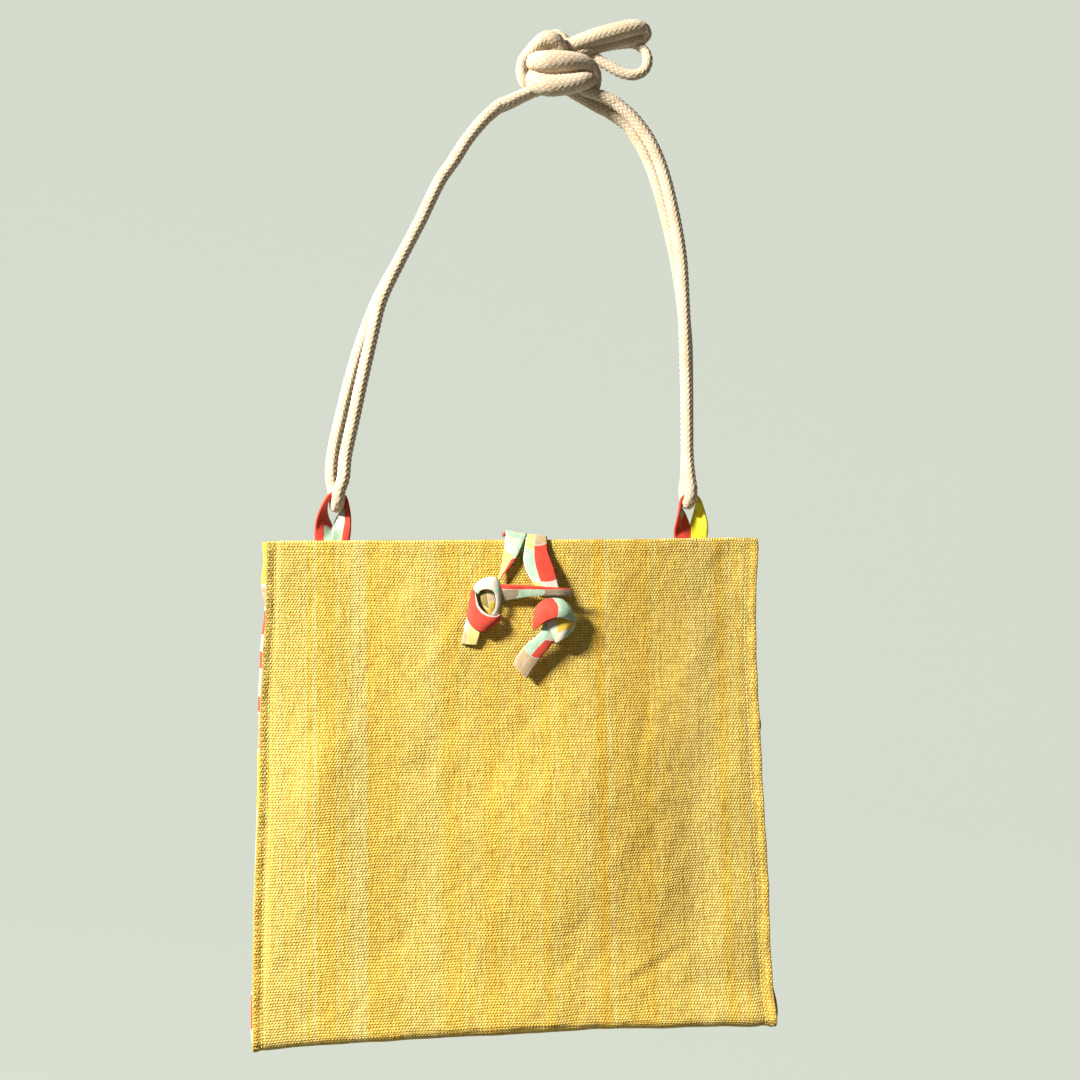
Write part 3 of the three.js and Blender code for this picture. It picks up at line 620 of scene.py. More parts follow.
def panel_turn(across, drop):
    """How far the front lies back: the sum of its slope from the left edge on, fading out at the base."""
    steps = np.linspace(-1, 1, 400)
    a, b, c, d = PANEL_TURN
    slope = PANEL_SLOPE * smooth_step(a, b, steps) * (1 - smooth_step(c, d, steps))
    depth = np.cumsum(slope) * (steps[1] - steps[0]) * MOUTH_WIDTH / 2
    return np.interp(across, steps, depth) * (1 - smooth_step(0.90, 0.99, drop))


def sag(across, drop):
    """How far the cloth hangs below its level form: the rim's sag, straight from end to end and fading
    out, and the base's, which sets in lower down and grows to the corners by the sixth power of across."""
    rim = RIM_SAGS[0] * (1 - across) / 2 + RIM_SAGS[1] * (1 + across) / 2
    base = BASE_SAG + CORNER_SAG * across**6
    return rim * (1 - smooth_step(0, RIM_SAG_FADE, drop)) + base * smooth_step(0.3, 1, drop)


def grid_normals(grid):
    """Unit direction square to a grid of places, from its two slopes."""
    return unit(np.cross(np.gradient(grid, axis=1), np.gradient(grid, axis=0)))


def cloth_wall(grid, thickness, u, v, tone=1.0, round_steps=3):
    """Closed cloth from a grid of places on one side. The other side lies thickness away against the
    normal, and a half round joins them all the way round the border. u and v are the flat places."""
    rows, cols = grid.shape[:2]
    n = grid_normals(grid)
    thickness = np.broadcast_to(thickness, (rows, cols))[..., None]
    far = grid - n * thickness
    number = np.arange(rows * cols).reshape(rows, cols)
    quads = number[quad_corners(rows, cols)]
    flat = np.stack([np.broadcast_to(u, (rows, cols)), np.broadcast_to(v, (rows, cols))], -1).reshape(-1, 2)
    places = [grid.reshape(-1, 3), far.reshape(-1, 3)]
    faces = [quads, quads[:, ::-1] + rows * cols]
    uvs = [flat[quads], flat[quads[:, ::-1]]]
    i = np.concatenate([np.zeros(cols - 1, int), np.arange(rows - 1), np.full(cols - 1, rows - 1),
                        np.arange(rows - 1, 0, -1)])
    j = np.concatenate([np.arange(cols - 1), np.full(rows - 1, cols - 1), np.arange(cols - 1, 0, -1),
                        np.zeros(rows - 1, int)])
    away = grid[i, j] - grid[np.clip(i, 1, rows - 2), np.clip(j, 1, cols - 2)]
    away -= (away * n[i, j]).sum(1)[:, None] * n[i, j]
    away = unit(away)
    loops = [number[i, j]]
    count = 2 * rows * cols
    for k in range(1, round_steps + 1):
        turn = np.pi * k / (round_steps + 1)
        share = (1 - np.cos(turn)) / 2
        places.append(grid[i, j] * (1 - share) + far[i, j] * share
                      + away * thickness[i, j] / 2 * np.sin(turn))
        loops.append(np.arange(count, count + len(i)))
        count += len(i)
    loops.append(number[i, j] + rows * cols)
    edge_flat = flat[number[i, j]]
    for near, next_loop in zip(loops[:-1], loops[1:]):
        faces.append(np.stack([near, next_loop, np.roll(next_loop, -1), np.roll(near, -1)], 1))
        ahead = np.roll(edge_flat, -1, axis=0)
        uvs.append(np.stack([edge_flat, edge_flat, ahead, ahead], 1))
    tone = np.broadcast_to(tone, (rows, cols)).ravel()
    edge_tone = tone[number[i, j]]
    tones = np.concatenate([tone, tone] + [edge_tone] * round_steps)
    places, faces, uvs = np.concatenate(places), np.concatenate(faces), np.concatenate(uvs)
    a, b, c, d = (places[faces[:, k]] for k in range(4))
    volume = (a * np.cross(b, c)).sum() + (a * np.cross(c, d)).sum()
    if volume < 0:
        faces, uvs = faces[:, ::-1], uvs[:, ::-1]
    return places, faces, uvs, tones


EDGE_WAVE = 0.0004
# unevenness of handwoven cloth: height, spread in rows and columns, seed, slant in radians
UNEVEN = [(0.00007, (3.2, 1.5), 3, 0.7), (0.00016, (8, 3.2), 5, 0.6), (0.00035, (14, 9), 8, 0.6)]
BACK_ROWS, FRONT_ROWS, FOLD_ROWS, BASE_ROWS = 76, 150, 7, 12
MIDDLE_COLUMNS = 168
# columns of places near each side edge, counted in widths of the seam
EDGE_COLUMNS = (0, 0.3, 0.6, 0.85, 1, 1.15, 1.4, 1.8, 2.4, 3.1)


def bag_cloth():
    """Outer side of the bag. The cloth path is drawn across, sagged and, at the front, turned back at the
    right. It is sunk along the side seams and by the dents, and raised by the creases, the hem and a light
    random unevenness of handwoven cloth. Also its thickness, greater at the hem, its flat places, and its
    tone, which is painted shade: darker in the seams' grooves, along the hem's stitch row and across the
    left seam's flange."""
    y, z, out_y, out_z, drop, run = cloth_path(BACK_ROWS, FRONT_ROWS, FOLD_ROWS, BASE_ROWS)
    y, z, out_y, out_z, drop, run = (part[:, None] for part in (y, z, out_y, out_z, drop, run))
    half = half_width(drop)
    edge = np.array(EDGE_COLUMNS)
    middle = np.linspace(0, 1, MIDDLE_COLUMNS)[None, 1:-1]
    low, high = edge_pull(drop, -1) - half, edge_pull(drop, 1) + half
    left, right = low + edge * FLANGES[0], high - edge[::-1] * FLANGES[1]
    x = np.concatenate([left, left[:, -1:] * (1 - middle) + right[:, :1] * middle, right], 1)
    front = np.arange(len(x))[:, None] > BACK_ROWS + FOLD_ROWS + BASE_ROWS // 2 - 1
    across = x / half
    down = drop * BAG_HEIGHT
    flanges = np.minimum((x - low) / FLANGES[0], (high - x) / FLANGES[1])
    from_edge = flanges * FLANGE
    groove = SEAM_GROOVE * np.exp(-((np.clip(flanges - 1, 0, None) / 0.5) ** 2))
    proud = (SEAM_GROOVE + SEAM_PROUD) * np.clip(1 - flanges, 0, 0.92) * smooth_step(0.001, 0.007, down)
    field = smooth_step(FLANGE * 1.2, FLANGE * 6, from_edge)
    level = smooth_step(HEM_HEIGHT, HEM_HEIGHT * 6, down)
    foot = 1 - smooth_step(0.86, 0.96, drop)
    dent = dent_depth(np.where(front, across, -across), drop) * field * level * foot
    crease = crease_rise(np.where(front, x, -x), np.broadcast_to(down, x.shape))
    uneven = sum(high * soft_random(x.shape, spread, seed, slant) for high, spread, seed, slant in UNEVEN)
    hem = HEM_RISE * smooth_step(HEM_HEIGHT + 0.0012, HEM_HEIGHT - 0.0008, down)
    hem_line = np.exp(-(((down - HEM_HEIGHT + HEM_STITCH_UP) / 0.0011) ** 2))
    edge_wave = EDGE_WAVE * (1 - smooth_step(0, FLANGE, from_edge)) * np.sin(run / 0.0046)
    flat_field = smooth_step(FLANGE * 1.1, FLANGE * 2.2, from_edge)
    sink = (groove - proud + dent - (crease + uneven) * flat_field - hem + HEM_STITCH_SINK * hem_line
            - edge_wave + np.where(front, panel_turn(across, drop), 0))
    arch = np.where(drop == 1, BASE_ARCH * (1 - across**2) ** 2, 0)
    grid = np.stack([MIDDLE_X + x, y - out_y * sink, RIM_Z + z - out_z * sink + arch - sag(across, drop)], -1)
    thickness = np.where(down < HEM_HEIGHT, HEM, CLOTH) - groove * 0.6
    # Painted shade: the cloth is darkened across the left seam's flange, in both seams' grooves and along the
    # hem's stitch row.
    painted_shade = np.where(across < 0, 0.42 - 0.27 * smooth_step(0.1, 0.6, flanges), 0)
    painted_shade = painted_shade * (1 - smooth_step(0.85, 1.15, flanges)) * (1 - 0.5 * smooth_step(0.06, 0.2, down))
    tone = 1 - 0.2 * np.exp(-(((flanges - 1) / 0.25) ** 2)) - painted_shade - 0.04 * hem_line
    return grid, thickness, x, np.broadcast_to(run, x.shape), tone


# the warp's colour by the distance from the left edge in millimetres: 0 is pale straw, 1 deep gold
WARP_MIDDLE = 178
WARP_LEFT = [
    (0, 0.75), (5, 0.5), (13, 0.3), (22, 0.52), (30, 0.36), (37, 0.36), (42, 0.7), (49, 0.74), (53, 0.5),
    (62, 0.45), (65, 0.1), (70, 0.1), (74, 0.6), (80, 0.85), (85, 0.5), (92, 0.75), (96, 0.5), (119, 0.32),
    (136, 0.8), (140, 0.32), (144, 0.78), (149, 0.32), (154, 0.74), (164, 0.74), (171, 0.5), (178, 0.74),
]
WARP_RIGHT = [
    (178, 0.74), (183, 0.5), (187, 0.7), (193, 0.5), (200, 0.76), (205, 0.36), (212, 0.74), (218, 0.5),
    (235, 0.5), (238, 1.0), (242, 1.0), (246, 0.2), (251, 0.72), (256, 0.48), (268, 0.76), (275, 0.76),
    (280, 0.5), (300, 0.45), (318, 0.28), (326, 0.28), (335, 0.76), (340, 0.45), (344, 0.28), (348, 0.5),
    (352, 0.3), (361, 0.6),
]
WARP_END = 362
YARN_ACROSS = 0.00103
YARN_DOWN = 0.00185

woven_cotton, tree, shader = new_finish("woven cotton")
lay = node(tree, "ShaderNodeUVMap", uv_map="lay")
u, v, _ = parts_of(lay)
u = u + (noise(lay, 55, 2) - 0.5) * 0.0022
v = v + (noise(lay, 34, 2) - 0.5) * 0.0034
warp, weft = (u + 0.3) / YARN_ACROSS, v / YARN_DOWN
turn_across, turn_down = warp * np.pi, weft * np.pi
rising, falling = calc("COSINE", turn_across - turn_down), calc("COSINE", turn_across + turn_down)
weave = rising * 0.11 - falling * 0.10 + calc("COSINE", turn_down * 2) * -0.18 + 0.5
slub = noise(node(tree, "ShaderNodeMapping", {"Vector": lay, "Scale": (620, 90, 1)}), 1, 2)
nub = noise(node(tree, "ShaderNodeMapping", {"Vector": lay, "Scale": (130, 420, 1)}), 1, 2)
height = weave * (slub * 1.5 + nub * 1.3 - 0.35)

left_share = (u + WARP_MIDDLE / 1000) * (1000 / WARP_MIDDLE)
left_warp = ramp_of(left_share, [(mm / WARP_MIDDLE, value) for mm, value in WARP_LEFT])
right_warp = ramp_of(left_share - 1, [((mm - WARP_MIDDLE) / (WARP_END - WARP_MIDDLE), value)
                                      for mm, value in WARP_RIGHT])
stripe = node(tree, "ShaderNodeSeparateColor", {0: blend_of(u > 0, left_warp, right_warp)})
one_yarn = node(tree, "ShaderNodeTexWhiteNoise", {"W": calc("FLOOR", warp)}, noise_dimensions="1D")
one_pick = node(tree, "ShaderNodeTexWhiteNoise", {"W": calc("FLOOR", weft)}, noise_dimensions="1D")
streak = node(tree, "ShaderNodeTexNoise", {"W": u * 260, "Scale": 1, "Detail": 3}, noise_dimensions="1D")
stripe = stripe + (one_yarn - 0.5) * 0.30 + (streak - 0.5) * 0.75 + (slub - 0.5) * 0.35
warp_colour = ramp_of(stripe, [(0.0, (0.87, 0.76, 0.32)), (0.35, (0.82, 0.665, 0.205)),
                               (0.65, (0.83, 0.61, 0.12)), (1.0, (0.85, 0.555, 0.06))])
cloth_colour = blend_of((1 - weave) * 0.42, warp_colour, (0.74, 0.62, 0.20, 1))
rubbed = ramp_of(noise(lay, 22, 4), [(0.3, 0.90), (0.7, 1.06)])
pick_tone = ramp_of(one_pick, [(0.0, 0.97), (1.0, 1.03)])
# Painted shade in the weave: darker and browner where its height is low, in the hollows between the yarns and
# in thin places.
weave_hollow_shade = ramp_of(height, [(0.15, (0.34, 0.255, 0.10)), (0.5, (0.64, 0.565, 0.43)),
                          (0.85, (0.92, 0.90, 0.86))])
# The tone attribute carries the bag's painted shade: darker in the seams' grooves, along the hem's stitch row
# and across the left seam's flange.
seam_shade = node(tree, "ShaderNodeAttribute", output="Color", attribute_name="tone")
bump = node(tree, "ShaderNodeBump", {"Strength": 0.85, "Distance": 0.0008, "Height": height})
feed(tree, shader, {"Base Color": tinted(cloth_colour, rubbed, pick_tone, weave_hollow_shade, seam_shade),
                    "Normal": bump, "Roughness": 0.88, "Specular IOR Level": 0.2, "Sheen Weight": 0.12,
                    "Sheen Roughness": 0.5})

bag_grid, bag_thickness, bag_u, bag_v, bag_shade = bag_cloth()
bag = put_mesh("bag_cloth", woven_cotton, *cloth_wall(bag_grid, bag_thickness, bag_u, bag_v, bag_shade))
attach(bag, "root")
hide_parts("woven_body")

# Stitches: gold sewing thread. One row holds the turned hem of the front and the back, one row runs
# down each side seam and under the base, and short stitches oversew the edges of the seams.
STITCH_PITCH = 0.0034
STITCH_LENGTH = 0.0024
THREAD = 0.00027
HEM_THREAD = 0.0002
EDGE_PITCH = 0.0042
EDGE_LENGTH = 0.0040
EDGE_SLANT = 1.25
# places along and round one stitch
BEADS = 7
BEAD_SIDES = 6


def on_bag(i, j):
    """Places and outward directions on the bag's outer side at fractional rows i and columns j."""
    normals = grid_normals(bag_grid)
    if normals[0, len(normals[0]) // 2, 1] < 0:
        normals = -normals
    i0 = np.clip(np.floor(i).astype(int), 0, bag_grid.shape[0] - 2)
    j0 = np.clip(np.floor(j).astype(int), 0, bag_grid.shape[1] - 2)
    a, b = (i - i0)[:, None], (j - j0)[:, None]
    at, out = ((1 - a) * ((1 - b) * g[i0, j0] + b * g[i0, j0 + 1])
               + a * ((1 - b) * g[i0 + 1, j0] + b * g[i0 + 1, j0 + 1]) for g in (bag_grid, normals))
    return at, unit(out)


def stitch_row(line, normals, pitch=STITCH_PITCH, length=STITCH_LENGTH, turn=0.0, thread=THREAD):
    """A row of stitches along a line: every pitch a slim bead of thread, bowed out of the cloth. turn
    swings each bead from along the line towards across it."""
    run = along_line(line)
    stops = np.arange(pitch / 2, run[-1], pitch)
    at, out = at_stops(stops, run, line), unit(at_stops(stops, run, normals))
    heading = unit(at_stops(stops, run, np.gradient(line, run, axis=0)))
    heading = np.cos(turn) * heading + np.sin(turn) * np.cross(out, heading)
    side = np.cross(out, heading)
    t = np.linspace(-1, 1, BEADS)
    angle = np.arange(BEAD_SIDES) * 2 * np.pi / BEAD_SIDES
    thick = thread * np.sqrt(np.clip(1 - t**4, 0.02, 1))
    bow = thread * (0.6 - 1.2 * t**2)
    places = (at[:, None, None] + heading[:, None, None] * (t * length / 2)[None, :, None, None]
              + out[:, None, None] * (bow[:, None] + thick[:, None] * np.sin(angle))[None, :, :, None]
              + side[:, None, None] * (thick[:, None] * np.cos(angle))[None, :, :, None])
    row, col = quad_corners(BEADS, BEAD_SIDES + 1)
    cap = np.array([[0, 5, 4, 1], [1, 4, 3, 2]])
    caps = np.concatenate([cap, (BEADS - 1) * BEAD_SIDES + cap[:, ::-1]])
    quads = np.concatenate([row * BEAD_SIDES + col % BEAD_SIDES, caps])[:, ::-1]
    quads = (quads[None] + BEADS * BEAD_SIDES * np.arange(len(stops))[:, None, None]).reshape(-1, 4)
    places = places.reshape(-1, 3)
    return places, quads, np.zeros((len(quads), 4, 2)), np.ones(len(places))


def row_of(drop_wanted, front):
    """Row number of the bag's grid at a distance below the rim."""
    run = bag_v[:, 0]
    return np.interp(run[-1] - drop_wanted if front else drop_wanted, run, np.arange(len(run)))


def all_stitches():
    """Every row of stitches on the bag cloth: the two hems, the two seams, and the seams' edges."""
    rows, cols = bag_grid.shape[:2]
    for front in (True, False):
        i = np.full(300, row_of(HEM_HEIGHT - HEM_STITCH_UP, front))
        yield stitch_row(*on_bag(i, np.linspace(5, cols - 6, 300)), thread=HEM_THREAD)
    i = np.linspace(1, rows - 2, 900)
    for column in (4.0, cols - 5.0):
        yield stitch_row(*on_bag(i, np.full(900, column)))
    for column in (1.2, cols - 2.2):
        yield stitch_row(*on_bag(i, np.full(900, column)), EDGE_PITCH, EDGE_LENGTH, EDGE_SLANT)


thread, tree, shader = new_finish("gold thread")
twist = noise(node(tree, "ShaderNodeTexCoord", output="Object"), 900, 2)
gold = ramp_of(twist, [(0.3, (0.66, 0.47, 0.12)), (0.7, (0.86, 0.67, 0.22))])
feed(tree, shader, {"Base Color": gold, "Roughness": 0.7})

stitches = put_mesh("bag_stitches", thread, *joined(all_stitches()))
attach(stitches, "root")

# Side gussets: strips of printed cotton sewn behind the pinched seams. They swell out at the mouth,
# tuck inwards half way down, and round under the corners of the base.
GUSSET_CLOTH = 0.0016
GUSSET_BULGES = {"left": 0.0086, "right": 0.005}
GUSSET_TUCK = 0.008
GUSSET_GAP = 0.0006
PUCKER = 0.0007
# drop, share of the bulge, share of the tuck
GUSSET_FORM = [(0, 1, 0), (0.11, 1, 0), (0.17, 0.85, 0.05), (0.24, 0.3, 0.4), (0.45, 0, 1), (0.7, 0, 0.9),
               (0.86, 0.25, 0.35), (0.95, 0.3, 0), (1, 0, 0)]
GUSSET_ROWS, GUSSET_FOLD_ROWS, GUSSET_BASE_ROWS = 90, 8, 4
# drop, how far the seam allowance stands out of the seam on the left and on the right, in millimetres
GUSSET_SHOW = [
    (0, 1.2, 0), (0.12, 1.4, 0), (0.19, 2.5, 0), (0.30, 2.3, 0), (0.37, 2, 0), (0.39, 1.9, 2.4),
    (0.42, 1.8, 0), (0.6, 1.4, 0), (0.8, 1.1, 0), (0.87, 1.2, 0), (0.90, 1.9, 0), (0.95, 2, 2.4),
    (0.98, 1.8, 2.2), (1, 0.8, 0),
]
# colours of the print; the darkest, an olive, is painted shade used only inside the left tie's knot
PRINT = {
    "cream": (0.60, 0.58, 0.49), "red": (0.60, 0.060, 0.034), "mint": (0.38, 0.56, 0.42),
    "yellow": (0.85, 0.78, 0.035), "taupe": (0.30, 0.25, 0.17), "lime": (0.60, 0.58, 0.18),
    "beige": (0.50, 0.37, 0.22), "gold": (0.66, 0.46, 0.05), "straw": (0.68, 0.60, 0.20),
    "olive": (0.27, 0.21, 0.06),
}


def printed_cotton(name, lanes, bow, line, rim=0.035):
    """Printed cotton for one strip. The pattern is colour blocks one after another along the strip, in
    lanes side by side. Cream lines, line millimetres wide, part the blocks, and a cream rim, rim of the
    width to each side, parts the lanes along a slightly waving edge. bow bends the blocks' ends into arcs,
    by the square of the distance from the strip's middle. A lane is (from share of the width, blocks);
    each block is the millimetres along that it begins at, and its colour."""
    finish, tree, shader = new_finish(name)
    lay = node(tree, "ShaderNodeUVMap", uv_map="lay")
    u, v, _ = parts_of(lay)
    off = u - 0.5
    v = v + off * off * (bow * 4) + (noise(lay, 60, 1) - 0.5) * 0.002
    lanes = [(start, [block.split() for block in blocks.split(", ")]) for start, blocks in lanes]
    length = max(float(at) for start, blocks in lanes for at, paint in blocks) + 50
    colour = None
    for start, blocks in lanes:
        stops = [(float(at) / length, PRINT[paint]) for at, paint in blocks]
        stops += [((float(at) - line) / length, PRINT["cream"]) for at, paint in blocks if float(at) > line]
        lane = ramp_of(v / (length / 1000), stops, "CONSTANT")
        if colour is None:
            colour = lane
        else:
            edge = calc("SINE", v * 70) * 0.06 + start
            colour = blend_of(u > edge - rim, colour, (*PRINT["cream"], 1))
            colour = blend_of(u > edge + rim, colour, lane)
    place = node(tree, "ShaderNodeTexCoord", output="Object")
    # The finer noise is the cotton's random grain. The coarser one paints random soft blotches of shade,
    # standing in for the shade of small wrinkles, and also drives the bump.
    grain, painted_shade = noise(place, 1500, 3), noise(place, 160, 4)
    colour = tinted(colour, ramp_of(grain, [(0.25, 0.80), (0.7, 1.04)]),
                    ramp_of(painted_shade, [(0.3, 0.74), (0.65, 1.04)]))
    height = grain * 0.25 + painted_shade * 0.8
    bump = node(tree, "ShaderNodeBump", {"Strength": 0.5, "Distance": 0.0006, "Height": height})
    feed(tree, shader, {"Base Color": colour, "Normal": bump, "Roughness": 0.82, "Specular IOR Level": 0.25,
                        "Sheen Weight": 0.1})
    return finish


def gusset_cloth(side, bulge):
    """Outer side of a gusset. Its two edges follow the bag's path just inside the cloth, out to the seam's
    edge and past it by GUSSET_SHOW. Between them it stands out of the seam line by bulge less tuck, as a
    sine squared across, and it sags with the bag. Soft slanting puckers run in from the seams."""
    y, z, out_y, out_z, drop, run = cloth_path(GUSSET_ROWS, GUSSET_ROWS, GUSSET_FOLD_ROWS, GUSSET_BASE_ROWS)
    count = GUSSET_ROWS + GUSSET_FOLD_ROWS
    wall = np.where(drop * BAG_HEIGHT < HEM_HEIGHT, HEM, CLOTH) + GUSSET_GAP
    y, z = (y - out_y * wall)[:, None], (z - out_z * wall)[:, None]
    down = np.clip(-z[:count] / BAG_HEIGHT, 0, 1)
    flange = FLANGES[side > 0]
    show = drop_curve(GUSSET_SHOW, down, 1 if side < 0 else 2) / 1000
    seam = half_width(drop[:count, None]) - flange
    swell = bulge * drop_curve(GUSSET_FORM, down) - GUSSET_TUCK * drop_curve(GUSSET_FORM, down, 2)
    w = np.concatenate([[0, 0, 0], np.linspace(0, 1, 37)[1:-1], [1, 1, 1]])
    out = np.concatenate([[1, 0.5, 0], np.zeros(35), [0, 0.5, 1]])
    hump = np.sin(np.pi * w)
    puckers = PUCKER * hump * np.sin(down * 62 + 5 * w) * (1 - down**8)
    x = seam + out * (flange + show) + swell * hump**2 + puckers
    foot = smooth_step(0.965, 1.0, down)
    x = x * (1 - foot) + foot * (seam + flange * np.maximum(out, hump**0.5 * 0.92))
    gy = y[:count] * (1 - w) + y[::-1][:count] * w + panel_turn(side, down) * w
    gz = z[:count] * (1 - w) + z[::-1][:count] * w - sag(side, down)
    grid = np.stack([MIDDLE_X + side * x + edge_pull(drop[:count, None], side), gy, RIM_Z + gz], -1)
    if side > 0:
        grid = grid[:, ::-1]
    return grid, np.linspace(0, 1, len(w))[None], run[:count, None]


# the lanes of each gusset, from the back rim down
GUSSET_PRINT = {
    "left": [
        (0.0, "0 lime, 30 taupe, 46 red, 72 red, 92 mint, 118 red, 150 yellow, 190 mint, 222 red, "
              "262 taupe, 300 red, 330 mint"),
        (0.42, "0 yellow, 30 taupe, 52 red, 71 mint, 81 red, 94 mint, 104 cream, 112 red, 124 taupe, "
               "150 yellow, 190 mint, 222 beige, 262 taupe, 306 red, 330 mint"),
    ],
    "right": [
        (0.0, "0 mint, 35 yellow, 70 red, 100 taupe, 136 red, 170 mint, 205 red, 240 yellow, 275 mint, "
              "306 red, 330 cream"),
        (0.55, "0 red, 28 mint, 64 yellow, 104 red, 134 red, 160 taupe, 200 mint, 236 red, 270 yellow, "
               "302 red, 330 mint"),
    ],
}
for side_name, side in (("left", -1), ("right", 1)):
    grid, u, v = gusset_cloth(side, GUSSET_BULGES[side_name])
    cotton = printed_cotton("print cotton gusset " + side_name, GUSSET_PRINT[side_name], bow=0.006, line=1.6)
    gusset = put_mesh("side_cloth_" + side_name, cotton, *cloth_wall(grid, -GUSSET_CLOTH, u, v)[:3])
    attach(gusset, "root")
    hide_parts("gusset_" + side_name)

# Tabs: a folded strip of printed cotton looped over each ring of rope. Its two ends are sewn flat
# inside the front hem, and each leg turns a quarter on its way up to the rope.
TAB_CLOTH = 0.0020
TAB_STRIP = 0.0112
TAB_HEIGHT = 0.0303
TAB_TAIL = 0.014
TAB_IN = 0.0011
# tilts are this much smaller while the line is drawn, so that they hardly weigh on its spacing
TILT_LESS = 100
TAB_STEP = 0.0008
# how far the middle of the left and the right tab is from the bag's middle
TAB_SPREADS = (0.1280, 0.1308)
# sideways and up (shares of the strip's width and the tab's height), width share, tilt in degrees, cup
TAB_STOPS = [
    (-0.50, -1, 1, 0, 0), (-0.50, 0, 1, 0, 0), (-0.52, 0.22, 1, 15, 0), (-0.56, 0.5, 0.97, 50, 0),
    (-0.42, 0.8, 0.80, 76, 0.04), (-0.10, 0.97, 0.65, 84, 0.14), (0.24, 1.03, 0.6, 90, 0.16),
    (0.60, 0.95, 0.65, 98, 0.14), (0.76, 0.76, 0.80, 110, 0.04), (0.71, 0.5, 0.93, 138, 0),
    (0.57, 0.22, 1, 170, 0), (0.50, 0, 1, 180, 0), (0.50, -1, 1, 180, 0),
]


def tab_cloth(side):
    """Outer side of a tab: a strip on a smooth line through the stops. Its width lies level and along the
    hem at its two ends, and tilts towards the back on the way up. It narrows and is cupped over the rope,
    with a soft pleat down each leg. The right tab is the left one mirrored."""
    spread = TAB_SPREADS[side > 0]
    turn = panel_turn(side * spread / half_width(0), 0)
    y = front_y(0) + HEM + TAB_IN + TAB_CLOTH / 2
    across, up, share, tilt, cup = np.array(TAB_STOPS).T
    rise = np.where(up < 0, up * TAB_TAIL, up * TAB_HEIGHT)
    tilt = np.radians(tilt if side < 0 else 180 - tilt)
    table = np.stack([MIDDLE_X + side * (spread - across * TAB_STRIP), y + turn * (1 - np.clip(up, 0, 1)),
                      RIM_Z + rise, share * TAB_STRIP, tilt / TILT_LESS, -side * cup * TAB_STRIP], 1)
    line = smooth_line(table, TAB_STEP)
    wide, tilt, cup = line[:, 3], line[:, 4] * TILT_LESS, line[:, 5, None]
    line = line[:, :3]
    run = along_line(line)
    heading = unit(np.gradient(line, axis=0))
    width_way = np.stack([np.cos(tilt), np.sin(tilt), np.zeros(len(run))], 1)
    width_way = unit(width_way - (width_way * heading).sum(1)[:, None] * heading)
    face = np.cross(heading, width_way)
    w = np.linspace(-1, 1, 17)
    free = smooth_step(0.012, 0.020, run) * (1 - smooth_step(run[-1] - 0.020, run[-1] - 0.012, run))
    pleat = 0.0006 * np.sin(3.2 * w + 1) * np.sin(run / 0.006)[:, None] - 0.0005 * (1 - w**2)
    proud = cup * w**2 + TAB_CLOTH / 2 + free[:, None] * pleat
    grid = (line[:, None] + width_way[:, None] * (w * wide[:, None] / 2)[..., None]
            + face[:, None] * proud[..., None])
    return grid[:, ::-1], (1 + w[None, ::-1]) / 2, run[:, None]


# the lanes of each tab, from one end of the strip to the other
TAB_PRINT = {
    "left": [
        (0.0, "0 red"),
        (0.42, "0 mint, 23.5 red, 55 mint, 66 cream, 76 mint"),
    ],
    "right": [
        (0.0, "0 yellow, 52 red"),
        (0.30, "0 yellow, 44 taupe, 62 red"),
        (0.62, "0 yellow, 44 mint, 69 red"),
    ],
}
for side_name, side in (("left", -1), ("right", 1)):
    grid, u, v = tab_cloth(side)
    cotton = printed_cotton("print cotton tab " + side_name, TAB_PRINT[side_name], bow=0.006, line=0.9, rim=0)
    tab = put_mesh("loop_tab_" + side_name, cotton, *cloth_wall(grid, TAB_CLOTH, u, v)[:3])
    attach(tab, "root")
    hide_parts("tab_" + side_name)

# Ties: two folded strips of printed cotton that close the mouth. The left one crosses the mouth from the
# back, is knotted, and a strip of it passes over the right one. The right one is knotted above its tail.
TIE_CLOTH = 0.0015
BAND_STEP = 0.0008
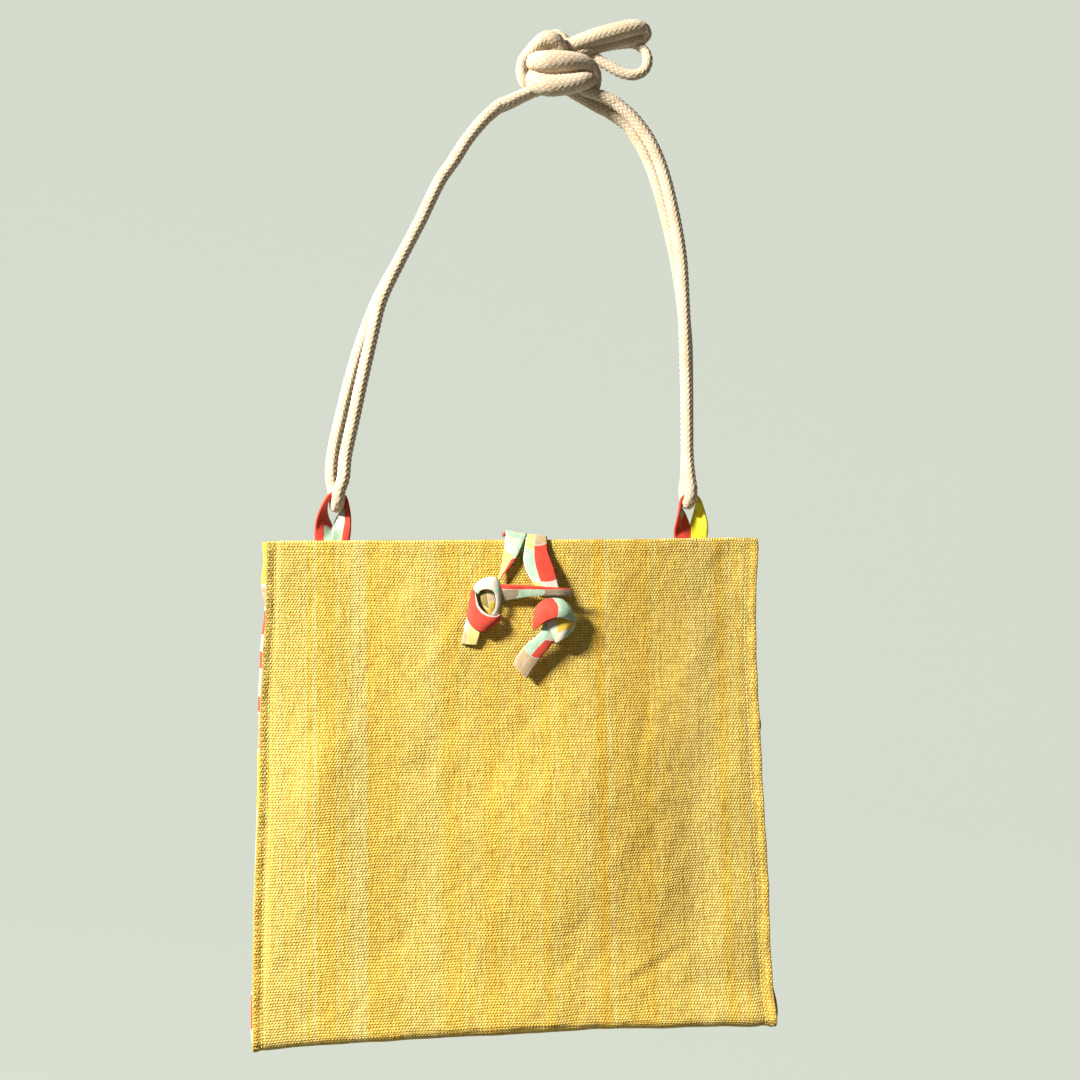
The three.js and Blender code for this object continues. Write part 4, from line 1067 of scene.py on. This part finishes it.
# Each band of cloth is given by its two long edges: (across from the bag's middle, down from the rim,
# out from the front cloth), in millimetres; then how far its middle bows out.
LEFT_BANDS = {
    "rim": ([(-6, -3.4, -25), (-6, -4.8, -12), (-6.4, -5.7, 1), (-7.4, 4, 1.5), (-9.1, 13.4, 2.5),
             (-11.5, 23.9, 3.5), (-13.2, 30, 4)],
            [(8.2, -2.6, -25), (8.4, -3.4, -12), (8.6, -3.5, 1), (5.3, 4, 3), (1.4, 11.6, 4), (-3, 18.1, 4.5),
             (-7.9, 23.9, 5), (-12.7, 30, 5)], 0.5),
    "hood": ([(-28.9, 35.6, 1.5), (-27.6, 31.5, 3.5), (-24.5, 28.7, 5), (-19.9, 27.1, 6), (-15.5, 26.9, 6.5),
              (-12.8, 29.9, 6), (-12, 36.7, 5.5), (-12.3, 43.7, 5), (-13.8, 50.1, 4), (-15.8, 53.6, 2.5)],
             [(-26.2, 38, 4), (-25.2, 36, 5.5), (-22.8, 35.1, 6.5), (-19.4, 35.3, 7), (-16.2, 37, 7),
              (-14.9, 42.4, 6.5), (-15.4, 48.3, 5.5), (-17.3, 52.4, 4)], 0.6),
    "inner": ([(-25.5, 34.5, 3), (-25.1, 42.5, 4.5), (-23.5, 48.3, 4.5), (-20.5, 53.1, 3.5)],
              [(-15, 34.5, 4), (-14.5, 42.6, 4.5), (-14.9, 48.4, 4), (-15.3, 54.6, 3)], 1.0),
    "wrap": ([(-29.1, 35.6, 1.5), (-28.1, 41.3, 4.5), (-26.3, 47.1, 6.5), (-21.8, 51.7, 7.5),
              (-15.8, 54.1, 6.5), (-12.3, 52.9, 3)],
             [(-30, 36.8, 1), (-33.1, 49.5, 2.5), (-33.8, 55.3, 3.5), (-30.7, 61, 4.5), (-24.9, 64.3, 5),
              (-16.6, 59.4, 4.5), (-12.4, 55.5, 2)], 1.2),
    "tail": ([(-34.6, 53, 1.2), (-37.3, 64.6, 1.4), (-39.1, 73.4, 1.2)],
             [(-24, 58.5, 3.5), (-26.3, 68.1, 3), (-28.1, 74.2, 1.8)], 0.6),
    "bridge": ([(-14.4, 31.1, 5.5), (-1.4, 31.8, 8), (11.3, 32.4, 10.5), (20.5, 33.2, 12), (29.9, 33.8, 12.5),
                (37.8, 34.7, 11)],
               [(-12.8, 44.6, 2.3), (-0.9, 41.7, 4), (9.4, 39.8, 6.5), (20.8, 38.9, 9.5), (30, 39, 11),
                (38.9, 39.5, 9)], 0.2),
}
RIGHT_BANDS = {
    "rim": ([(9.4, 8, -6), (9.2, -2.2, -5), (8.9, -3.4, -2), (8.6, -3.1, 1), (6.2, 7.5, 3.5),
             (5.4, 15.7, 5.5), (8.9, 26.3, 7), (13.4, 33.3, 8), (17.4, 41.4, 8)],
            [(22.9, 8, -6), (22.9, -1.4, -5), (22.9, -2.4, -2), (23.1, -1.9, 1), (23.7, 8.7, 3.5),
             (27.6, 20.5, 6), (29.8, 31, 7.5), (30.6, 35.7, 8), (32.3, 42.7, 8)], 0.6),
    "wrap": ([(14.1, 61.5, 3), (13.2, 53.1, 6.5), (15.2, 46.7, 8), (20.8, 42.6, 9), (29.6, 42.4, 9.5),
              (36.1, 46.8, 8), (40.8, 58.2, 3)],
             [(14.2, 62.7, 6), (15.6, 60.2, 10), (20, 57.3, 12.5), (26.4, 55.5, 13), (33.3, 55.4, 11),
              (40.4, 58.4, 4)], 1.6),
    "second": ([(19.9, 54.2, 6), (26.4, 53, 8.5), (33, 53, 8.5), (40.2, 56.6, 4.5)],
               [(24.3, 66.3, 5), (28.1, 72.9, 5), (32.8, 69, 7), (39.4, 63.4, 4)], 1.8),
    "tail": ([(18.9, 54.6, 7), (16, 65, 7.5), (6.4, 73.4, 7), (-1.2, 82.7, 5.5), (-3.1, 87.9, 4.5)],
             [(31.4, 58.4, 5.5), (27.8, 70.1, 6.5), (22.4, 75.9, 6.5), (14.7, 85.7, 5.5),
              (6.5, 97.9, 4)], 0.9),
}


def band_cloth(first, second, bow):
    """Front side of a band: straight across between two smooth long edges, and bowed out in the middle by
    one less the square of the share across."""
    length = max(along_line(np.array(edge))[-1] for edge in (first, second)) / 1000
    count = max(16, int(length / BAND_STEP))
    edges = []
    for edge in (first, second):
        line = smooth_line(np.array(edge) / 1000, BAND_STEP / 4)
        run = along_line(line)
        across, down, out = at_stops(np.linspace(0, run[-1], count), run, line).T
        y = front_y(np.clip(down, 0, None) / BAG_HEIGHT) - out
        edges.append(np.stack([MIDDLE_X + across, y, RIM_Z - down], 1)[:, None])
    w = np.linspace(0, 1, 15)[None, :, None]
    grid = edges[0] * (1 - w) + edges[1] * w
    n = grid_normals(grid)
    n = n * np.sign(-n[..., 1].mean() or 1)
    ripple = 0.12 * np.sin(np.linspace(0, 9, count))[:, None, None] * np.sin(5 * w)
    grid = grid + n * (bow / 1000) * (1 - (2 * w - 1) ** 2 + ripple)
    return grid, w[..., 0], np.linspace(0, length, count)[:, None]


# the lanes of each band
TIE_PRINT = {
    ("left", "rim"): [(0.0, "0 red, 26.2 mint, 32 cream, 43 straw"),
                      (0.72, "0 red, 26.8 mint, 47 red")],
    ("left", "hood"): [(0.0, "0 mint, 7 cream, 22 mint, 27 cream")],
    # The inner band's top blocks, the olive and the beige, are painted shade inside the knot; the gold below
    # them is print.
    ("left", "inner"): [(0.0, "0 olive, 15 gold"), (0.42, "0 beige, 10 gold")],
    ("left", "wrap"): [(0.0, "0 cream"), (0.07, "0 red")],
    ("left", "tail"): [(0.0, "0 cream, 12 beige"), (0.24, "0 lime"), (0.62, "0 straw")],
    # The bridge's lower lane is taupe at its two ends: painted shade of the strip's underside, seen edge-on;
    # the mint between is print.
    ("left", "bridge"): [(0.0, "0 red"), (0.26, "0 taupe, 16 mint, 34 taupe")],
    ("right", "rim"): [(0.0, "0 straw, 22.5 lime, 28 mint, 50 cream, 54 straw"),
                       (0.34, "0 red, 16.5 beige, 24 red, 52 cream")],
    ("right", "wrap"): [(0.0, "0 red, 30 mint, 50 cream"), (0.97, "0 cream")],
    ("right", "second"): [(0.0, "0 cream, 9 gold, 20 straw"),
                          (0.62, "0 mint, 9 cream, 16 mint")],
    ("right", "tail"): [(0.0, "0 mint, 33 beige"), (0.46, "0 cream, 16 red, 33 beige")],
}
for side_name, bands in (("left", LEFT_BANDS), ("right", RIGHT_BANDS)):
    parts, cottons = [], []
    for band_name, (first, second, bow) in bands.items():
        grid, u, v = band_cloth(first, second, bow)
        parts.append(cloth_wall(grid, -TIE_CLOTH, u, v))
        lanes = TIE_PRINT[side_name, band_name]
        name = f"print cotton {side_name} {band_name}"
        cottons.append(printed_cotton(name, lanes, bow=0.003, line=0.7, rim=0.015))
    tie = put_mesh("closing_tie_" + side_name, cottons[0], *joined(parts)[:3])
    for cotton in cottons[1:]:
        tie.data.materials.append(cotton)
    numbers = np.concatenate([np.full(len(part[1]), k) for k, part in enumerate(parts)])
    tie.data.polygons.foreach_set("material_index", numbers.astype(np.int32))
    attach(tie, "root")
    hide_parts("tie_" + side_name)
